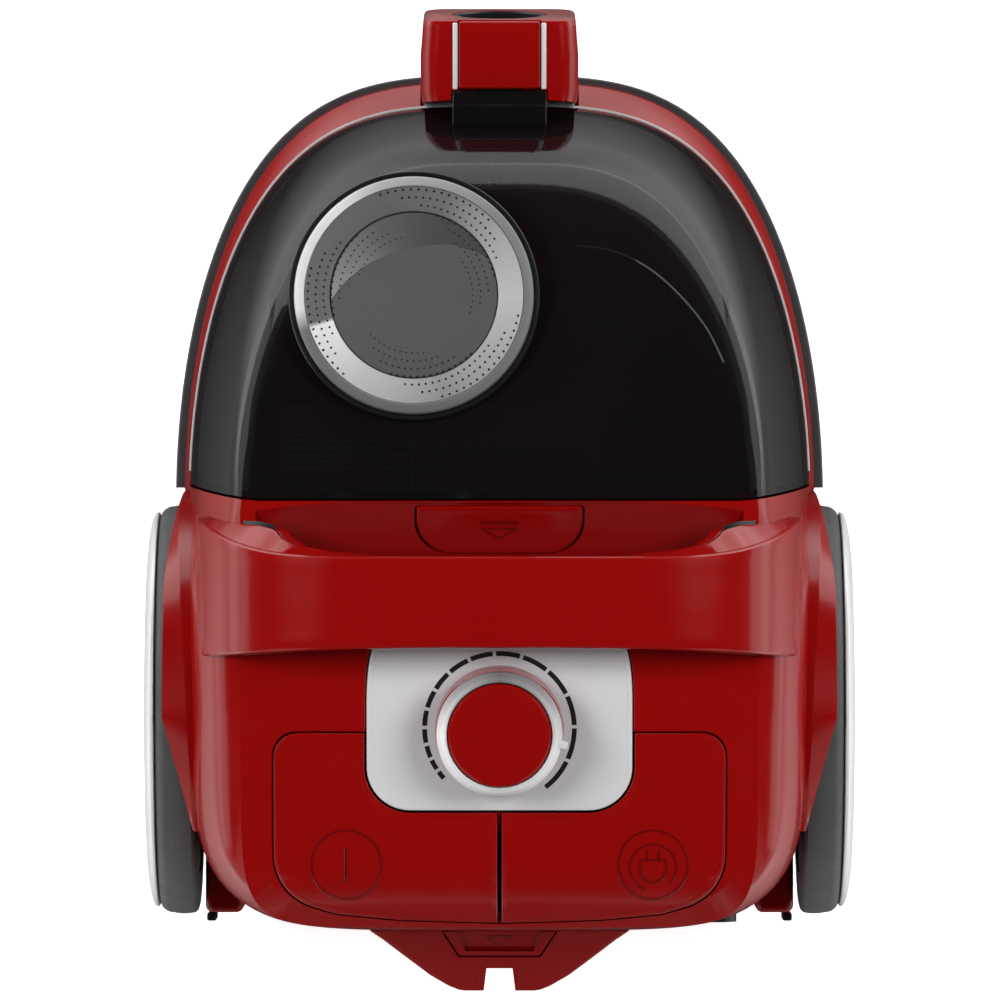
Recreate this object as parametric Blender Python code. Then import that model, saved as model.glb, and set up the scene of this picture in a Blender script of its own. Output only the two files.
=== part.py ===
"""Canister vacuum cleaner with a smoky cyclone container, as separate pieces.

Sizes are in millimetres here and become metres when an object is made.
+Y points to the hose end, +X to the right of the machine, +Z up, and the wheels stand on z = 0.
"""

from math import cos, pi, radians, sin

import bmesh
import bpy
from mathutils import Matrix, Vector

MM = 0.001
GAP = 0.35  # clearance between neighbouring pieces
WALL = 3.0  # wall thickness of the casings

# Wheels
WHEEL_R, WHEEL_Y, WHEEL_IN, WHEEL_OUT = 82.5, -84.5, 121.0, 136.8
HUBCAP_R, HUBCAP_OUT, RIM_R, AXLE_R = 79.6, 141.6, 65.6, 4.0
ARCH_R, ARCH_IN = 85.5, 118.2
ARCH_LIP_FRONT, ARCH_LIP, ARCH_LIP_REAR = 126.5, 133.5, 121.5
CASTER_Y, CASTER_TRAIL, CASTER_R = 112.0, 9.0, 14.0

# Heights
BASE_Z, STRIP_Z, CASING_Z, RIM_Z = 22.0, 64.0, 77.0, 102.0

# Plan outlines: half width, front reach, then the rear half width and rear reach behind SIDE_END
SIDE_END = -60.0
STRIP = (131.0, 172.0, 117.5, 109.0)
BAND = (127.5, 169.3, 121.5, 111.0)
RIM = (124.2, 158.4, 121.5, 111.0)
CREASE = (101.0, 110.0, 101.5, 108.5)

# Controls on the sloping rear top
PANEL_HALF, PANEL_FRONT, PANEL_REAR, PANEL_R = 52.0, -57.0, -121.6, 17.0
PANEL_CORNER = (3.6, 22.0)
KNOB_Y, KNOB_R, KNOB_TILT = -89.6, 24.6, radians(6.0)
PEDAL_OUT, PEDAL_IN, PEDAL_FRONT, PEDAL_REAR = 88.6, 0.8, -91.2, -166.6
PEDAL_AXIS = (-96.0, 193.4)
LATCH_AXIS = (-172.8, 123.5)
TAIL_REACH = 197.6
LEVER_X, LEVER_AXIS = 36.0, (-140.0, 167.0)

# Dust container and its silver cap
CAP_X, CAP_Y, CAP_Z, CAP_R, CAP_TILT = -33.5, 80.0, 202.5, 47.0, radians(-6.0)
SEAM_Y = 0.6
INLET_Z, INLET_HALF = 121.0, 16.0
FLOOR_Z = 68.0

# Carry handle
HANDLE_END, HANDLE_TOP, HANDLE_FOOT = 119.5, 238.0, 168.0

# Inside
MOTOR_X, MOTOR_Z, FAN_R, MOTOR_R = -38.0, 112.0, 46.0, 36.0
REEL_X, REEL_Y, REEL_Z, REEL_R = (28.0, 68.0), -97.0, 98.0, 56.0

SOCKET_Z, SOCKET_TILT, SOCKET_BORE = 124.0, radians(8.0), 19.0

RED = ("red_plastic", (0.26, 0.006, 0.005, 1), 0.25, 0.0)
DARK = ("dark_grey_plastic", (0.045, 0.045, 0.048, 1), 0.5, 0.0)
BLACK = ("black_plastic", (0.012, 0.012, 0.012, 1), 0.45, 0.0)
GREY = ("grey_plastic", (0.2, 0.2, 0.21, 1), 0.5, 0.0)
SILVER = ("silver_paint", (0.47, 0.47, 0.48, 1), 0.35, 0.8)
SMOKE = ("smoky_plastic", (0.02, 0.02, 0.022, 0.6), 0.08, 0.0)
RUBBER = ("tyre_rubber", (0.07, 0.07, 0.073, 1), 0.7, 0.0)
STEEL = ("steel", (0.55, 0.55, 0.56, 1), 0.3, 1.0)
FOAM = ("filter_foam", (0.55, 0.56, 0.5, 1), 0.95, 0.0)
BOARD = ("green_board", (0.02, 0.12, 0.05, 1), 0.6, 0.0)
COPPER = ("motor_metal", (0.4, 0.41, 0.43, 1), 0.4, 0.9)


# ---------------------------------------------------------------- scene and object helpers
def clear_scene():
    for obj in list(bpy.data.objects):
        bpy.data.objects.remove(obj, do_unlink=True)


def make_collection(name, hidden):
    collection = bpy.data.collections.new(name)
    bpy.context.scene.collection.children.link(collection)
    collection.hide_render = hidden
    return collection


def material(spec):
    name, colour, roughness, metallic = spec
    found = bpy.data.materials.get(name)
    if found:
        return found
    made = bpy.data.materials.new(name)
    made.use_nodes = True
    made.diffuse_color = colour
    shader = made.node_tree.nodes["Principled BSDF"]
    shader.inputs["Base Color"].default_value = (*colour[:3], 1)
    shader.inputs["Roughness"].default_value = roughness
    shader.inputs["Metallic"].default_value = metallic
    shader.inputs["Alpha"].default_value = colour[3]
    return made


def add_object(name, bm, collection, origin=(0, 0, 0), spec=None, turn=None):
    """Makes an object in metres from a mesh drawn in millimetres about its origin."""
    bmesh.ops.recalc_face_normals(bm, faces=bm.faces)
    bmesh.ops.scale(bm, vec=(MM, MM, MM), verts=bm.verts)
    mesh = bpy.data.meshes.new(name)
    bm.to_mesh(mesh)
    bm.free()
    obj = bpy.data.objects.new(name, mesh)
    collection.objects.link(obj)
    place = Matrix.Translation(Vector(origin) * MM)
    if turn is not None:
        place = place @ turn.to_4x4()
    obj.matrix_world = place
    if spec:
        mesh.materials.append(material(spec))
    return obj


def part(name, bm, spec, origin=(0, 0, 0), turn=None, smooth=True):
    obj = add_object(name, bm, PARTS, origin, spec, turn)
    if smooth:
        obj.data.shade_smooth()
        obj.data.set_sharp_from_angle(angle=radians(35))
    return obj


def cutter(name, bm, origin=(0, 0, 0), turn=None):
    obj = add_object("cutter_" + name, bm, CUTTERS, origin, turn=turn)
    obj.hide_render = True
    obj.display_type = "WIRE"
    return obj


def combine(obj, operation, *others):
    for other in others:
        step = obj.modifiers.new(operation.lower(), "BOOLEAN")
        step.operation = operation
        step.solver = "EXACT"
        step.object = other
    return obj


def cut(obj, *others):
    return combine(obj, "DIFFERENCE", *others)


def join(obj, *others):
    return combine(obj, "UNION", *others)


def keep(obj, *others):
    return combine(obj, "INTERSECT", *others)


# ---------------------------------------------------------------- mesh helpers
def box(low, high):
    bm = bmesh.new()
    bmesh.ops.create_cube(bm, size=1)
    size = [high[i] - low[i] for i in range(3)]
    middle = [(high[i] + low[i]) / 2 for i in range(3)]
    bmesh.ops.scale(bm, vec=size, verts=bm.verts)
    bmesh.ops.translate(bm, vec=middle, verts=bm.verts)
    return bm


def face_axis(bm, axis):
    """Turns a mesh made along Z to lie along X or Y."""
    turns = {"X": Matrix.Rotation(pi / 2, 3, "Y"), "Y": Matrix.Rotation(-pi / 2, 3, "X")}
    if axis in turns:
        bmesh.ops.rotate(bm, cent=(0, 0, 0), matrix=turns[axis], verts=bm.verts)


def rod(radius, length, middle=(0, 0, 0), axis="Z", segments=24):
    bm = bmesh.new()
    bmesh.ops.create_cone(
        bm, cap_ends=True, segments=segments, radius1=radius, radius2=radius, depth=length
    )
    face_axis(bm, axis)
    bmesh.ops.translate(bm, vec=middle, verts=bm.verts)
    return bm


def turned(profile, axis="Z", segments=32, closed=True):
    """Spins (radius, height) points about an axis; an open profile starts and ends on it."""
    bm = bmesh.new()
    points = [bm.verts.new((radius, 0, height)) for radius, height in profile]
    pairs = list(zip(points, points[1:] + points[:1])) if closed else list(zip(points, points[1:]))
    edges = [bm.edges.new(pair) for pair in pairs]
    bmesh.ops.spin(
        bm,
        geom=points + edges,
        cent=(0, 0, 0),
        axis=(0, 0, 1),
        angle=2 * pi,
        steps=segments,
        use_merge=True,
    )
    bmesh.ops.remove_doubles(bm, verts=bm.verts, dist=0.0005)
    face_axis(bm, axis)
    return bm


def ring_tube(outer, inner, low, high, axis="Z", segments=32):
    return turned([(outer, low), (outer, high), (inner, high), (inner, low)], axis, segments)


def loft(rings, apex=None):
    """Joins rings of equal length into one closed skin, ending in a flat cap or in a point."""
    bm = bmesh.new()
    rows = [[bm.verts.new(point) for point in ring] for ring in rings]
    for lower, upper in zip(rows, rows[1:]):
        for i in range(len(lower)):
            j = (i + 1) % len(lower)
            bm.faces.new((lower[i], lower[j], upper[j], upper[i]))
    bm.faces.new(list(reversed(rows[0])))
    if apex is None:
        bm.faces.new(rows[-1])
    else:
        tip = bm.verts.new(apex)
        for i in range(len(rows[-1])):
            bm.faces.new((rows[-1][i], rows[-1][(i + 1) % len(rows[-1])], tip))
    return bm


def prism(outline, low, high):
    return loft([[(x, y, z) for x, y in outline] for z in (low, high)])


def arc(centre, radius, start, end, steps):
    """Points of an arc, in degrees."""
    angles = [radians(start + (end - start) * i / steps) for i in range(steps + 1)]
    return [(centre[0] + radius * cos(a), centre[1] + radius * sin(a)) for a in angles]


def mirrored(outline):
    return [(-x, y) for x, y in reversed(outline)]


# ---------------------------------------------------------------- the machine's form
def plan(outline, inset=0.0, squareness=3.3, corner=4.8):
    """Points round an outline: a rounded front, straight sides and a square rear."""
    half, front, rear_half, rear = [size - inset for size in outline]
    points = []
    for i in range(21):
        angle = pi * i / 20
        points.append((half * signed_power(cos(angle), 2 / squareness), front * sin(angle)))
    points += [(-rear_half, -4.0), (-rear_half, -32.0)]
    for i in range(13):
        angle = pi + pi * i / 12
        x = rear_half * signed_power(cos(angle), 2 / corner)
        y = SIDE_END + rear * signed_power(sin(angle), 2 / corner)
        points.append((x, y))
    points += [(rear_half, -32.0), (rear_half, -4.0)]
    return points


def signed_power(value, power):
    if abs(value) < 1e-9:
        return 0.0
    return abs(value) ** power * (1 if value > 0 else -1)


def top_height(x, y):
    """Height of the crowned top: falling gently to the front and rear, faster at the rear edge."""
    fall = 0.00135 if y > -25 else 0.0008
    edge = 0.03 * max(0.0, -145 - y) ** 2
    return 211 - fall * (y + 25) ** 2 - edge - 5 * (x / 100) ** 2


def wall_fullness(y):
    """Power of the wall's rise: round beside the container, fuller behind it, over the wheels."""
    behind = min(1.0, max(0.0, (-4 - y) / 28))
    return 1.0 - 0.5 * behind


def form(inset=0.0, drop=0.0, low=CASING_Z):
    """The whole upper form as one solid, container included, moved in by inset and down by drop."""
    edge = plan(RIM, inset)
    crease = plan(CREASE, inset, squareness=2.0, corner=9.0)
    rings = [
        [(x, y, low) for x, y in plan(BAND, inset)],
        [(x, y, 91 - drop) for x, y in plan(BAND, inset + 1.2)],
        [(x, y, RIM_Z - drop) for x, y in edge],
    ]
    steepest = radians(78)
    for i in range(1, 5):
        angle = steepest * i / 4
        inward = (1 - cos(angle)) / (1 - cos(steepest))
        upward = sin(angle) / sin(steepest)
        ring = []
        for (x0, y0), (x1, y1) in zip(edge, crease):
            top = top_height(x1, y1) - inset
            x = x0 + (x1 - x0) * inward
            y = y0 + (y1 - y0) * inward
            rise = upward ** wall_fullness(y0)
            ring.append((x, y, RIM_Z + (top - RIM_Z) * rise - drop))
        rings.append(ring)
    centre_y = -30.0
    for scale in (0.9, 0.7, 0.4):
        ring = []
        for x, y in crease:
            x, y = x * scale, centre_y + (y - centre_y) * scale
            ring.append((x, y, top_height(x, y) - inset - drop))
        rings.append(ring)
    return loft(rings, (0, centre_y, top_height(0, centre_y) - inset - drop))


def front_outline(inset, seam=SEAM_Y):
    """The container's plan: the rim's front half, closed by a seam that bends forward at its ends."""
    half, front = RIM[0] - inset, RIM[1] - inset
    seam_end = seam + 6.0
    points = [(94, seam), (108, seam + 1.8), (half, seam_end)]
    for i in range(1, 20):
        angle = pi * i / 20
        points.append((half * signed_power(cos(angle), 2 / 3.3), max(front * sin(angle), seam_end + 1)))
    return points + [(-half, seam_end), (-108, seam + 1.8), (-94, seam)]


def trough_outline(grow=0.0):
    """The finger trough under the handle, seen from the side as (y, z)."""
    return [
        (-1.2 + grow * 0.2, 212 + grow),
        (-1.2 + grow * 0.2, 207.5 - grow * 1.3),
        (-23, 190 - grow * 1.3),
        (-33, 178 - grow),
        (-41, 172 - grow),
        (-49, 175 - grow),
        (-54 - grow * 0.7, 188 - grow * 0.5),
        (-55.4 - grow, 212),
    ]


def side_prism(outline, low_x, high_x):
    """An outline of (y, z) points stretched along X."""
    return loft([[(x, y, z) for y, z in outline] for x in (low_x, high_x)])


# ---------------------------------------------------------------- casings
def build_upper_casing():
    casing = part("upper_casing", form(), RED)
    space = prism(front_outline(-0.3, seam=-0.4), RIM_Z - 40, 260)
    room = cutter("container_room", space)
    inside = cutter("casing_inside", form(inset=WALL, low=60.0))
    guard = cutter("trough_wall", side_prism(trough_outline(WALL), -98.5, 98.5))
    cut(inside, guard)
    ahead = cutter("ahead_of_seam", box((-140, -4.0, 50), (140, 180, 260)))
    cut(inside, ahead)
    trough = cutter("trough", side_prism(trough_outline(), -95.5, 95.5))
    bulkhead_way = cutter("bulkhead_way", box((-97, -4.6, 50), (97, 1, 194.5)))
    socket_room = cutter("socket_room", box((-31.9, 150, 91.5), (31.9, 175, 110)))
    exhaust = cutter("exhaust_window", box((-46, -176, 83), (46, -160, 126)))
    outlet = cutter("outlet_hole", rod(9.4, 40, (86, -165, 112), "Y"))
    cut(casing, inside, trough, room, bulkhead_way, socket_room, exhaust, outlet)
    for side in (1, -1):
        arch_room = rod(ARCH_R + 3.7, 40, (side * 136.2, WHEEL_Y, WHEEL_R), "X", 44)
        cut(casing, cutter(f"arch_room_{side}", arch_room))
        cut(casing, cutter(f"axle_room_{side}", rod(AXLE_R + 4, 30, (side * 115, WHEEL_Y, WHEEL_R), "X")))
    panel_hole = cutter("panel_hole", prism(panel_outline(0.5), 194, 240))
    cut(casing, panel_hole)
    for name, outline in (("left", pedal_outline(-0.5)), ("right", mirrored(pedal_outline(-0.5)))):
        cut(casing, cutter(name + "_pedal_hole", prism(outline, 168, 240)))
    cut(casing, cutter("button_hole", button_body(0.5, -14, 14), *button_place()))


def build_lower_casing():
    low = (108, 150, 108, 96)
    middle = (120, 163, 117, 107)
    high = (127.2, 168.2, 117.5, 110.5)
    rings = [
        [(x, y, BASE_Z) for x, y in plan(low)],
        [(x, y, 36) for x, y in plan(middle)],
        [(x, y, STRIP_Z - GAP) for x, y in plan(high, -1.2)],
        [(x, y, STRIP_Z - GAP + 0.1) for x, y in plan(high)],
        [(x, y, CASING_Z - GAP) for x, y in plan(high)],
    ]
    lower = part("lower_casing", loft(rings), RED)
    inner = [
        [(x, y, BASE_Z + WALL) for x, y in plan(low, WALL)],
        [(x, y, 36) for x, y in plan(middle, WALL)],
        [(x, y, 60) for x, y in plan(high, WALL)],
        [(x, y, 90) for x, y in plan(high, WALL)],
    ]
    inside = cutter("lower_inside", loft(inner))
    cut(inside, cutter("caster_boss", rod(33, 30, (0, CASTER_Y, 31), segments=32)))
    cut(lower, inside, cutter("caster_pocket", rod(30, 30, (0, CASTER_Y, 28), segments=32)))
    for side in (1, -1):
        lobe = box((min(side * 104, side * 119.4), -167.6, 30), (max(side * 104, side * 119.4), -118, 62))
        join(lower, cutter(f"wheel_arch_{side}", wheel_arch(side)))
        join(lower, cutter(f"rear_lobe_{side}", lobe))
        cut(lower, cutter(f"axle_hole_{side}", rod(AXLE_R + 0.6, 30, (side * 115, WHEEL_Y, WHEEL_R), "X")))
    for i, (x, y) in enumerate(SCREWS):
        cut(lower, cutter(f"screw_hole_{i}", rod(3.9, 5, (x, y, BASE_Z), segments=12)))


def arch_lip(y):
    """How far out the mudguard's lip reaches at y: a pointed front, then a straight diagonal at the rear."""
    opening = sin(pi / 2 * min(1.0, max(0.0, (5 - y) / 45)))
    reach = ARCH_LIP_FRONT + (ARCH_LIP - ARCH_LIP_FRONT) * opening
    diagonal = ARCH_LIP - (ARCH_LIP - ARCH_LIP_REAR) * max(0.0, -86 - y) / 44
    return max(min(reach, diagonal), ARCH_IN + 2.4)


def wheel_arch(side):
    """The mudguard: a plate beside the body and a lip over the tyre that narrows to both ends."""
    steps = 20
    rows = []
    for i in range(steps + 1):
        angle = radians(-6 + 128 * i / steps)
        lip = arch_lip(WHEEL_Y + ARCH_R * cos(angle))
        section = [
            (ARCH_IN - 1.6, 12),
            (ARCH_IN - 1.6, ARCH_R + 3.2),
            (lip, ARCH_R + 3.0),
            (lip, ARCH_R),
            (ARCH_IN + 1.6, ARCH_R),
            (ARCH_IN + 1.6, 12),
        ]
        row = []
        for x, radius in section:
            row.append((side * x, WHEEL_Y + radius * cos(angle), WHEEL_R + radius * sin(angle)))
        rows.append(row)
    return loft(rows)


def build_bumper_strip():
    outer = plan(STRIP)[:21]
    inner = plan((BAND[0] + 0.05, BAND[1] - 0.75, *BAND[2:]))[:21]
    outline = [(x, max(y, 5.0)) for x, y in outer + inner[::-1]]
    part("bumper_strip", prism(outline, STRIP_Z, CASING_Z - 0.7), DARK)


# ---------------------------------------------------------------- handle
def handle_section(x, low, high):
    """One cross-section of the handle at x, between two depths below its top face."""
    share = abs(x) / HANDLE_END
    front = -21.8 + 14.0 * share**6
    rear = -57.5 - 4.5 * share**3
    lean = 7.0 * sin(pi * min(1.0, max(0.0, (share - 0.35) / 0.65)))
    arch = (1 - min(share, 1.0) ** 4) ** (1 / 2.2)
    points = []
    for depth, chamfer in ((low, 0.0), (high, 1.6 if high == 0 else 0.0)):
        reach = HANDLE_END - depth
        xx = reach * x / HANDLE_END
        z = HANDLE_FOOT + (HANDLE_TOP - HANDLE_FOOT - depth) * arch
        forward = lean * depth / 12
        points.append([(xx, front + forward - chamfer, z), (xx, rear + chamfer, z)])
    (low_front, low_rear), (high_front, high_rear) = points
    return [low_front, low_rear, high_rear, high_front]


def handle_bar(low, high):
    shares = [0.25, 0.5, 0.7, 0.82, 0.9, 0.95, 0.985, 1]
    stations = [-share for share in reversed(shares)] + [0] + shares
    return loft([handle_section(HANDLE_END * share, low, high) for share in stations])


def build_handle():
    body = cutter("handle_seat", form(inset=-0.5))
    cut(part("handle_upper", handle_bar(8.0, 0.0), RED), body)
    cut(part("handle_lower", handle_bar(14.0, 8.4), RED), body)


# ---------------------------------------------------------------- control panel, knob and pedals
def panel_outline(grow=0.0):
    """A rounded plate whose front corners are long and slim, where it runs under the handle."""
    half, front, rear = PANEL_HALF + grow, PANEL_FRONT + grow, PANEL_REAR - grow
    corners = [(-1, 1, 180, 90), (1, 1, 90, 0), (1, -1, 0, -90), (-1, -1, -90, -180)]
    points = []
    for sx, sy, start, end in corners:
        width, length = PANEL_CORNER if sy > 0 else (PANEL_R + grow, PANEL_R + grow)
        middle_y = front - length if sy > 0 else rear + length
        for x, y in arc((0, 0), 1, start, end, 5):
            points.append((sx * (half - width) + width * x, middle_y + length * y))
    return list(reversed(points))


def build_control_panel():
    panel = part("control_panel", prism(panel_outline(), 190, 230), SILVER)
    keep(panel, cutter("panel_top", form(drop=-1.0)))
    cut(panel, cutter("panel_under", form(drop=2.5)))
    cut(panel, cutter("shaft_hole", rod(4.0, 40, (0, KNOB_Y, 205), segments=20)))


def pedal_outline(inset=0.0):
    """Left pedal: beside and behind the control panel, with a rounded outer edge."""
    outer, inner = -PEDAL_OUT + inset, -PEDAL_IN - inset
    front, rear = PEDAL_FRONT - inset, PEDAL_REAR + inset
    beside = -PANEL_HALF - 0.9 - inset
    behind = PANEL_REAR - 0.9 - inset
    points = arc((outer + 9.5, front - 9.5), 9.5, 180, 90, 4)
    points += [(beside, front)]
    around = PANEL_R + 0.9 + inset
    points += arc((beside + around, behind + around), around, 180, 270, 5)
    points += [(inner, behind), (inner, rear)]
    points += [(-40, rear + 1.2), (-64, rear + 3.6)]
    points += arc((outer + 22, rear + 27.5), 22, 250, 180, 4)
    return list(reversed(points))


def build_pedals():
    lowered = cutter("pedal_under", form(drop=4.0))
    top = cutter("pedal_top", form(drop=-0.4))
    pin_hole = cutter("pin_hole", rod(1.5, 220, (0, *PEDAL_AXIS), "X", 16))
    for name, outline, side in (
        ("power_pedal", pedal_outline(), -1),
        ("rewind_pedal", mirrored(pedal_outline()), 1),
    ):
        around_pin = [(x, y - PEDAL_AXIS[0]) for x, y in outline]
        local = prism(around_pin, 165 - PEDAL_AXIS[1], 230 - PEDAL_AXIS[1])
        pedal = part(name, local, RED, origin=(0, *PEDAL_AXIS))
        keep(pedal, top)
        cut(pedal, lowered)
        lug = box((min(side * 62, side * 80), -99.5, 190), (max(side * 62, side * 80), -93, 201))
        join(pedal, cutter(name + "_lug", lug))
        post = rod(3, 14, (side * 50, -140, 190), segments=12)
        join(pedal, cutter(name + "_post", post))
        cut(pedal, pin_hole)


def coil(name, middle, low, high, radius, turns, wire=0.5):
    """A compression spring standing along Z."""
    curve = bpy.data.curves.new(name, "CURVE")
    curve.dimensions = "3D"
    curve.bevel_depth = wire * MM
    curve.bevel_resolution = 1
    curve.use_fill_caps = True
    steps = turns * 9
    line = curve.splines.new("POLY")
    line.points.add(steps)
    for i in range(steps + 1):
        angle = 2 * pi * turns * i / steps
        height = low + wire + (high - low - 2 * wire) * i / steps
        point = (radius * cos(angle), radius * sin(angle), height)
        line.points[i].co = (*(Vector(point) * MM), 1)
    curve.materials.append(material(STEEL))
    obj = bpy.data.objects.new(name, curve)
    obj.location = Vector((middle[0], middle[1], 0)) * MM
    PARTS.objects.link(obj)


def build_pedal_works():
    frame = part("pedal_frame", box((-91, -154, 158), (91, -112, 161)), GREY, smooth=False)
    cut(frame, cutter("lever_slot", box((LEVER_X - 5.5, -151, 150), (LEVER_X + 5.5, -116, 170))))
    for side in (-1, 1):
        post = box((min(side * 89.3, side * 91), -113, 158), (max(side * 89.3, side * 91), -92.5, 195.6))
        join(frame, cutter(f"pin_post_{side}", post))
        ear_x = LEVER_X + side * 6.8
        ear = box((ear_x - 1.2, LEVER_AXIS[0] - 5, 160), (ear_x + 1.2, LEVER_AXIS[0] + 5, 172))
        join(frame, cutter(f"lever_ear_{side}", ear))
        name = "power_pedal_spring" if side < 0 else "rewind_pedal_spring"
        coil(name, (side * 50, -140), 161.3, 192.6, 5, 4)
    cut(frame, cutter("frame_pin_hole", rod(1.5, 220, (0, *PEDAL_AXIS), "X", 16)))
    cut(frame, cutter("ear_hole", rod(2.3, 40, (LEVER_X, *LEVER_AXIS), "X", 16)))
    part("pedal_pin", rod(1.2, 182, (0, *PEDAL_AXIS), "X", 14), STEEL)
    part("power_switch", box((-82, -150, 161.4), (-66, -126, 180)), BLACK, smooth=False)
    build_brake_lever()


def build_brake_lever():
    """A bell crank: the pedal pushes its upper arm down, which lifts its pad off the reel."""
    outline = [(-3, -3), (13, -20.5), (17, -18), (4, -1), (-13, 15), (-17, 14)]
    crank = side_prism(outline, LEVER_X - 3, LEVER_X + 3)
    lever = part("brake_lever", crank, GREY, (0, *LEVER_AXIS), smooth=False)
    join(lever, cutter("lever_stub", rod(2.0, 15.6, (LEVER_X, *LEVER_AXIS), "X", 16)))


def knob_turn():
    return Matrix.Rotation(KNOB_TILT, 3, "X")


def build_knob():
    base = top_height(0, KNOB_Y) + 1.0 + GAP + 0.2
    origin = (0, KNOB_Y, base)
    collar = [(0, 0.3), (KNOB_R + 0.6, 0.3), (KNOB_R + 0.2, 12.5), (0, 12.5)]
    ring = [(KNOB_R, 12.9), (KNOB_R, 16.5), (KNOB_R - 3.0, 20.0), (20.6, 20.0), (20.6, 12.9)]
    cap = [(0, 12.9), (20.2, 12.9), (20.2, 19.8), (18.8, 20.6), (0, 21.0)]
    turn = knob_turn()
    part("knob_collar", turned(collar, segments=36, closed=False), RED, origin, turn)
    part("knob_ring", turned(ring, segments=28), SILVER, origin, turn)
    part("knob_cap", turned(cap, segments=28, closed=False), RED, origin, turn)
    part("knob_shaft", rod(3.0, 18, (0, 0, -9.2), segments=16), STEEL, origin, turn)


def build_electronics():
    board = part("circuit_board", box((-42, -118, 172), (42, -64, 173.8)), BOARD, smooth=False)
    parts_on_board = [
        rod(9, 8, (0, KNOB_Y + 1.4, 177.5), segments=20),
        box((-36, -112, 173), (-22, -92, 184)),
        rod(5, 14, (28, -100, 180), segments=16),
    ]
    for i, bm in enumerate(parts_on_board):
        join(board, cutter(f"board_item_{i}", bm))


# ---------------------------------------------------------------- release button
def button_place():
    """Middle of the button on the trough's front slope, and its turn."""
    slope = Vector((0, -21.8, -17.5)).normalized()
    normal = Vector((0, slope.z, -slope.y))
    middle = Vector((0, -12.0, 198.9))
    turn = Matrix((Vector((1, 0, 0)), -slope, normal)).transposed()
    return middle, turn


def button_body(grow, low, high):
    """D-shaped outline across the slope: +Y towards the container."""
    half, front, rear = 32.6 + grow, 12.2 + grow, -13.0 - grow
    points = [(half, front), (-half, front), (-half, 0)]
    points += arc((-half + 14, 0), 14, 180, 270, 5)[1:]
    points += [(half - 14, -14)]
    points += arc((half - 14, 0), 14, 270, 360, 5)[1:]
    points = [(x, max(y, rear)) for x, y in points]
    return prism(list(reversed(points)), low, high)


def build_release_button():
    part("release_button", button_body(0, -2.4, 0.6), RED, *button_place())


# ---------------------------------------------------------------- dust container
def cap_turn():
    return Matrix.Rotation(CAP_TILT, 3, "X")


def boss(radius, high, name):
    """The round tower that carries the silver cap."""
    tower = rod(radius, 80 + high, (0, 0, (high - 80) / 2), segments=36)
    return cutter(name, tower, (CAP_X, CAP_Y, CAP_Z), cap_turn())


def build_container():
    shell = part("container_shell", form(low=66.0), SMOKE)
    keep(shell, cutter("container_block", prism(front_outline(0.25), FLOOR_Z + GAP, 260)))
    join(shell, boss(CAP_R + 1.6, 0, "boss_outer"))
    inner = cutter("container_inside", form(inset=2.6, low=60.0))
    keep(inner, cutter("container_inner_block", prism(front_outline(2.85, SEAM_Y + 2.6), 50, 260)))
    join(inner, boss(CAP_R - 1.0, -2.6, "boss_inner"))
    cut(shell, inner)
    inlet = box((-INLET_HALF, 130, INLET_Z - INLET_HALF), (INLET_HALF, 170, INLET_Z + INLET_HALF))
    cut(shell, cutter("inlet_port", inlet))
    cut(shell, cutter("outlet_to_motor", rod(34, 10, (MOTOR_X, 0, MOTOR_Z), "Y", 28)))

    plug = prism(front_outline(3.3, SEAM_Y + 3.2), FLOOR_Z - 2.4, FLOOR_Z + 1.0)
    floor = part("container_floor", plug, BLACK)
    skirt = prism(front_outline(0.6, SEAM_Y + 0.4), FLOOR_Z - 2.6, FLOOR_Z)
    join(floor, cutter("floor_skirt", skirt))

    tube = turned([(22, -112), (24, -14), (21, -14), (19, -112)], segments=28)
    part("cyclone_tube", tube, GREY, (CAP_X, CAP_Y, CAP_Z), cap_turn())
    mesh = turned([(33, -104), (40, -20), (38, -20), (31, -104)], segments=28)
    part("mesh_filter", mesh, DARK, (CAP_X, CAP_Y, CAP_Z), cap_turn())

    ring = [(CAP_R, 0.3), (CAP_R, 2.0), (CAP_R - 3.6, 3.6), (33, 3.2), (33, 0.3)]
    part("cap_ring", turned(ring, segments=32), SILVER, (CAP_X, CAP_Y, CAP_Z), cap_turn())
    disc = [(0, 0.3), (32.6, 0.3), (32.6, 2.4), (31.6, 2.9), (0, 2.9)]
    part("cap_disc", turned(disc, segments=28, closed=False), SILVER, (CAP_X, CAP_Y, CAP_Z), cap_turn())


def build_cradle():
    part("container_cradle", prism(front_outline(4.5, -0.2), 61.5, 64.6), DARK)
    wall = part("bulkhead", box((-96.6, -4.2, 66), (96.6, -1.0, 194)), DARK, smooth=False)
    cut(wall, cutter("intake_hole", rod(34, 12, (MOTOR_X, 0, MOTOR_Z), "Y", 28)))


# ---------------------------------------------------------------- hose socket
def socket_turn():
    return Matrix.Rotation(SOCKET_TILT, 3, "X")


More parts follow.
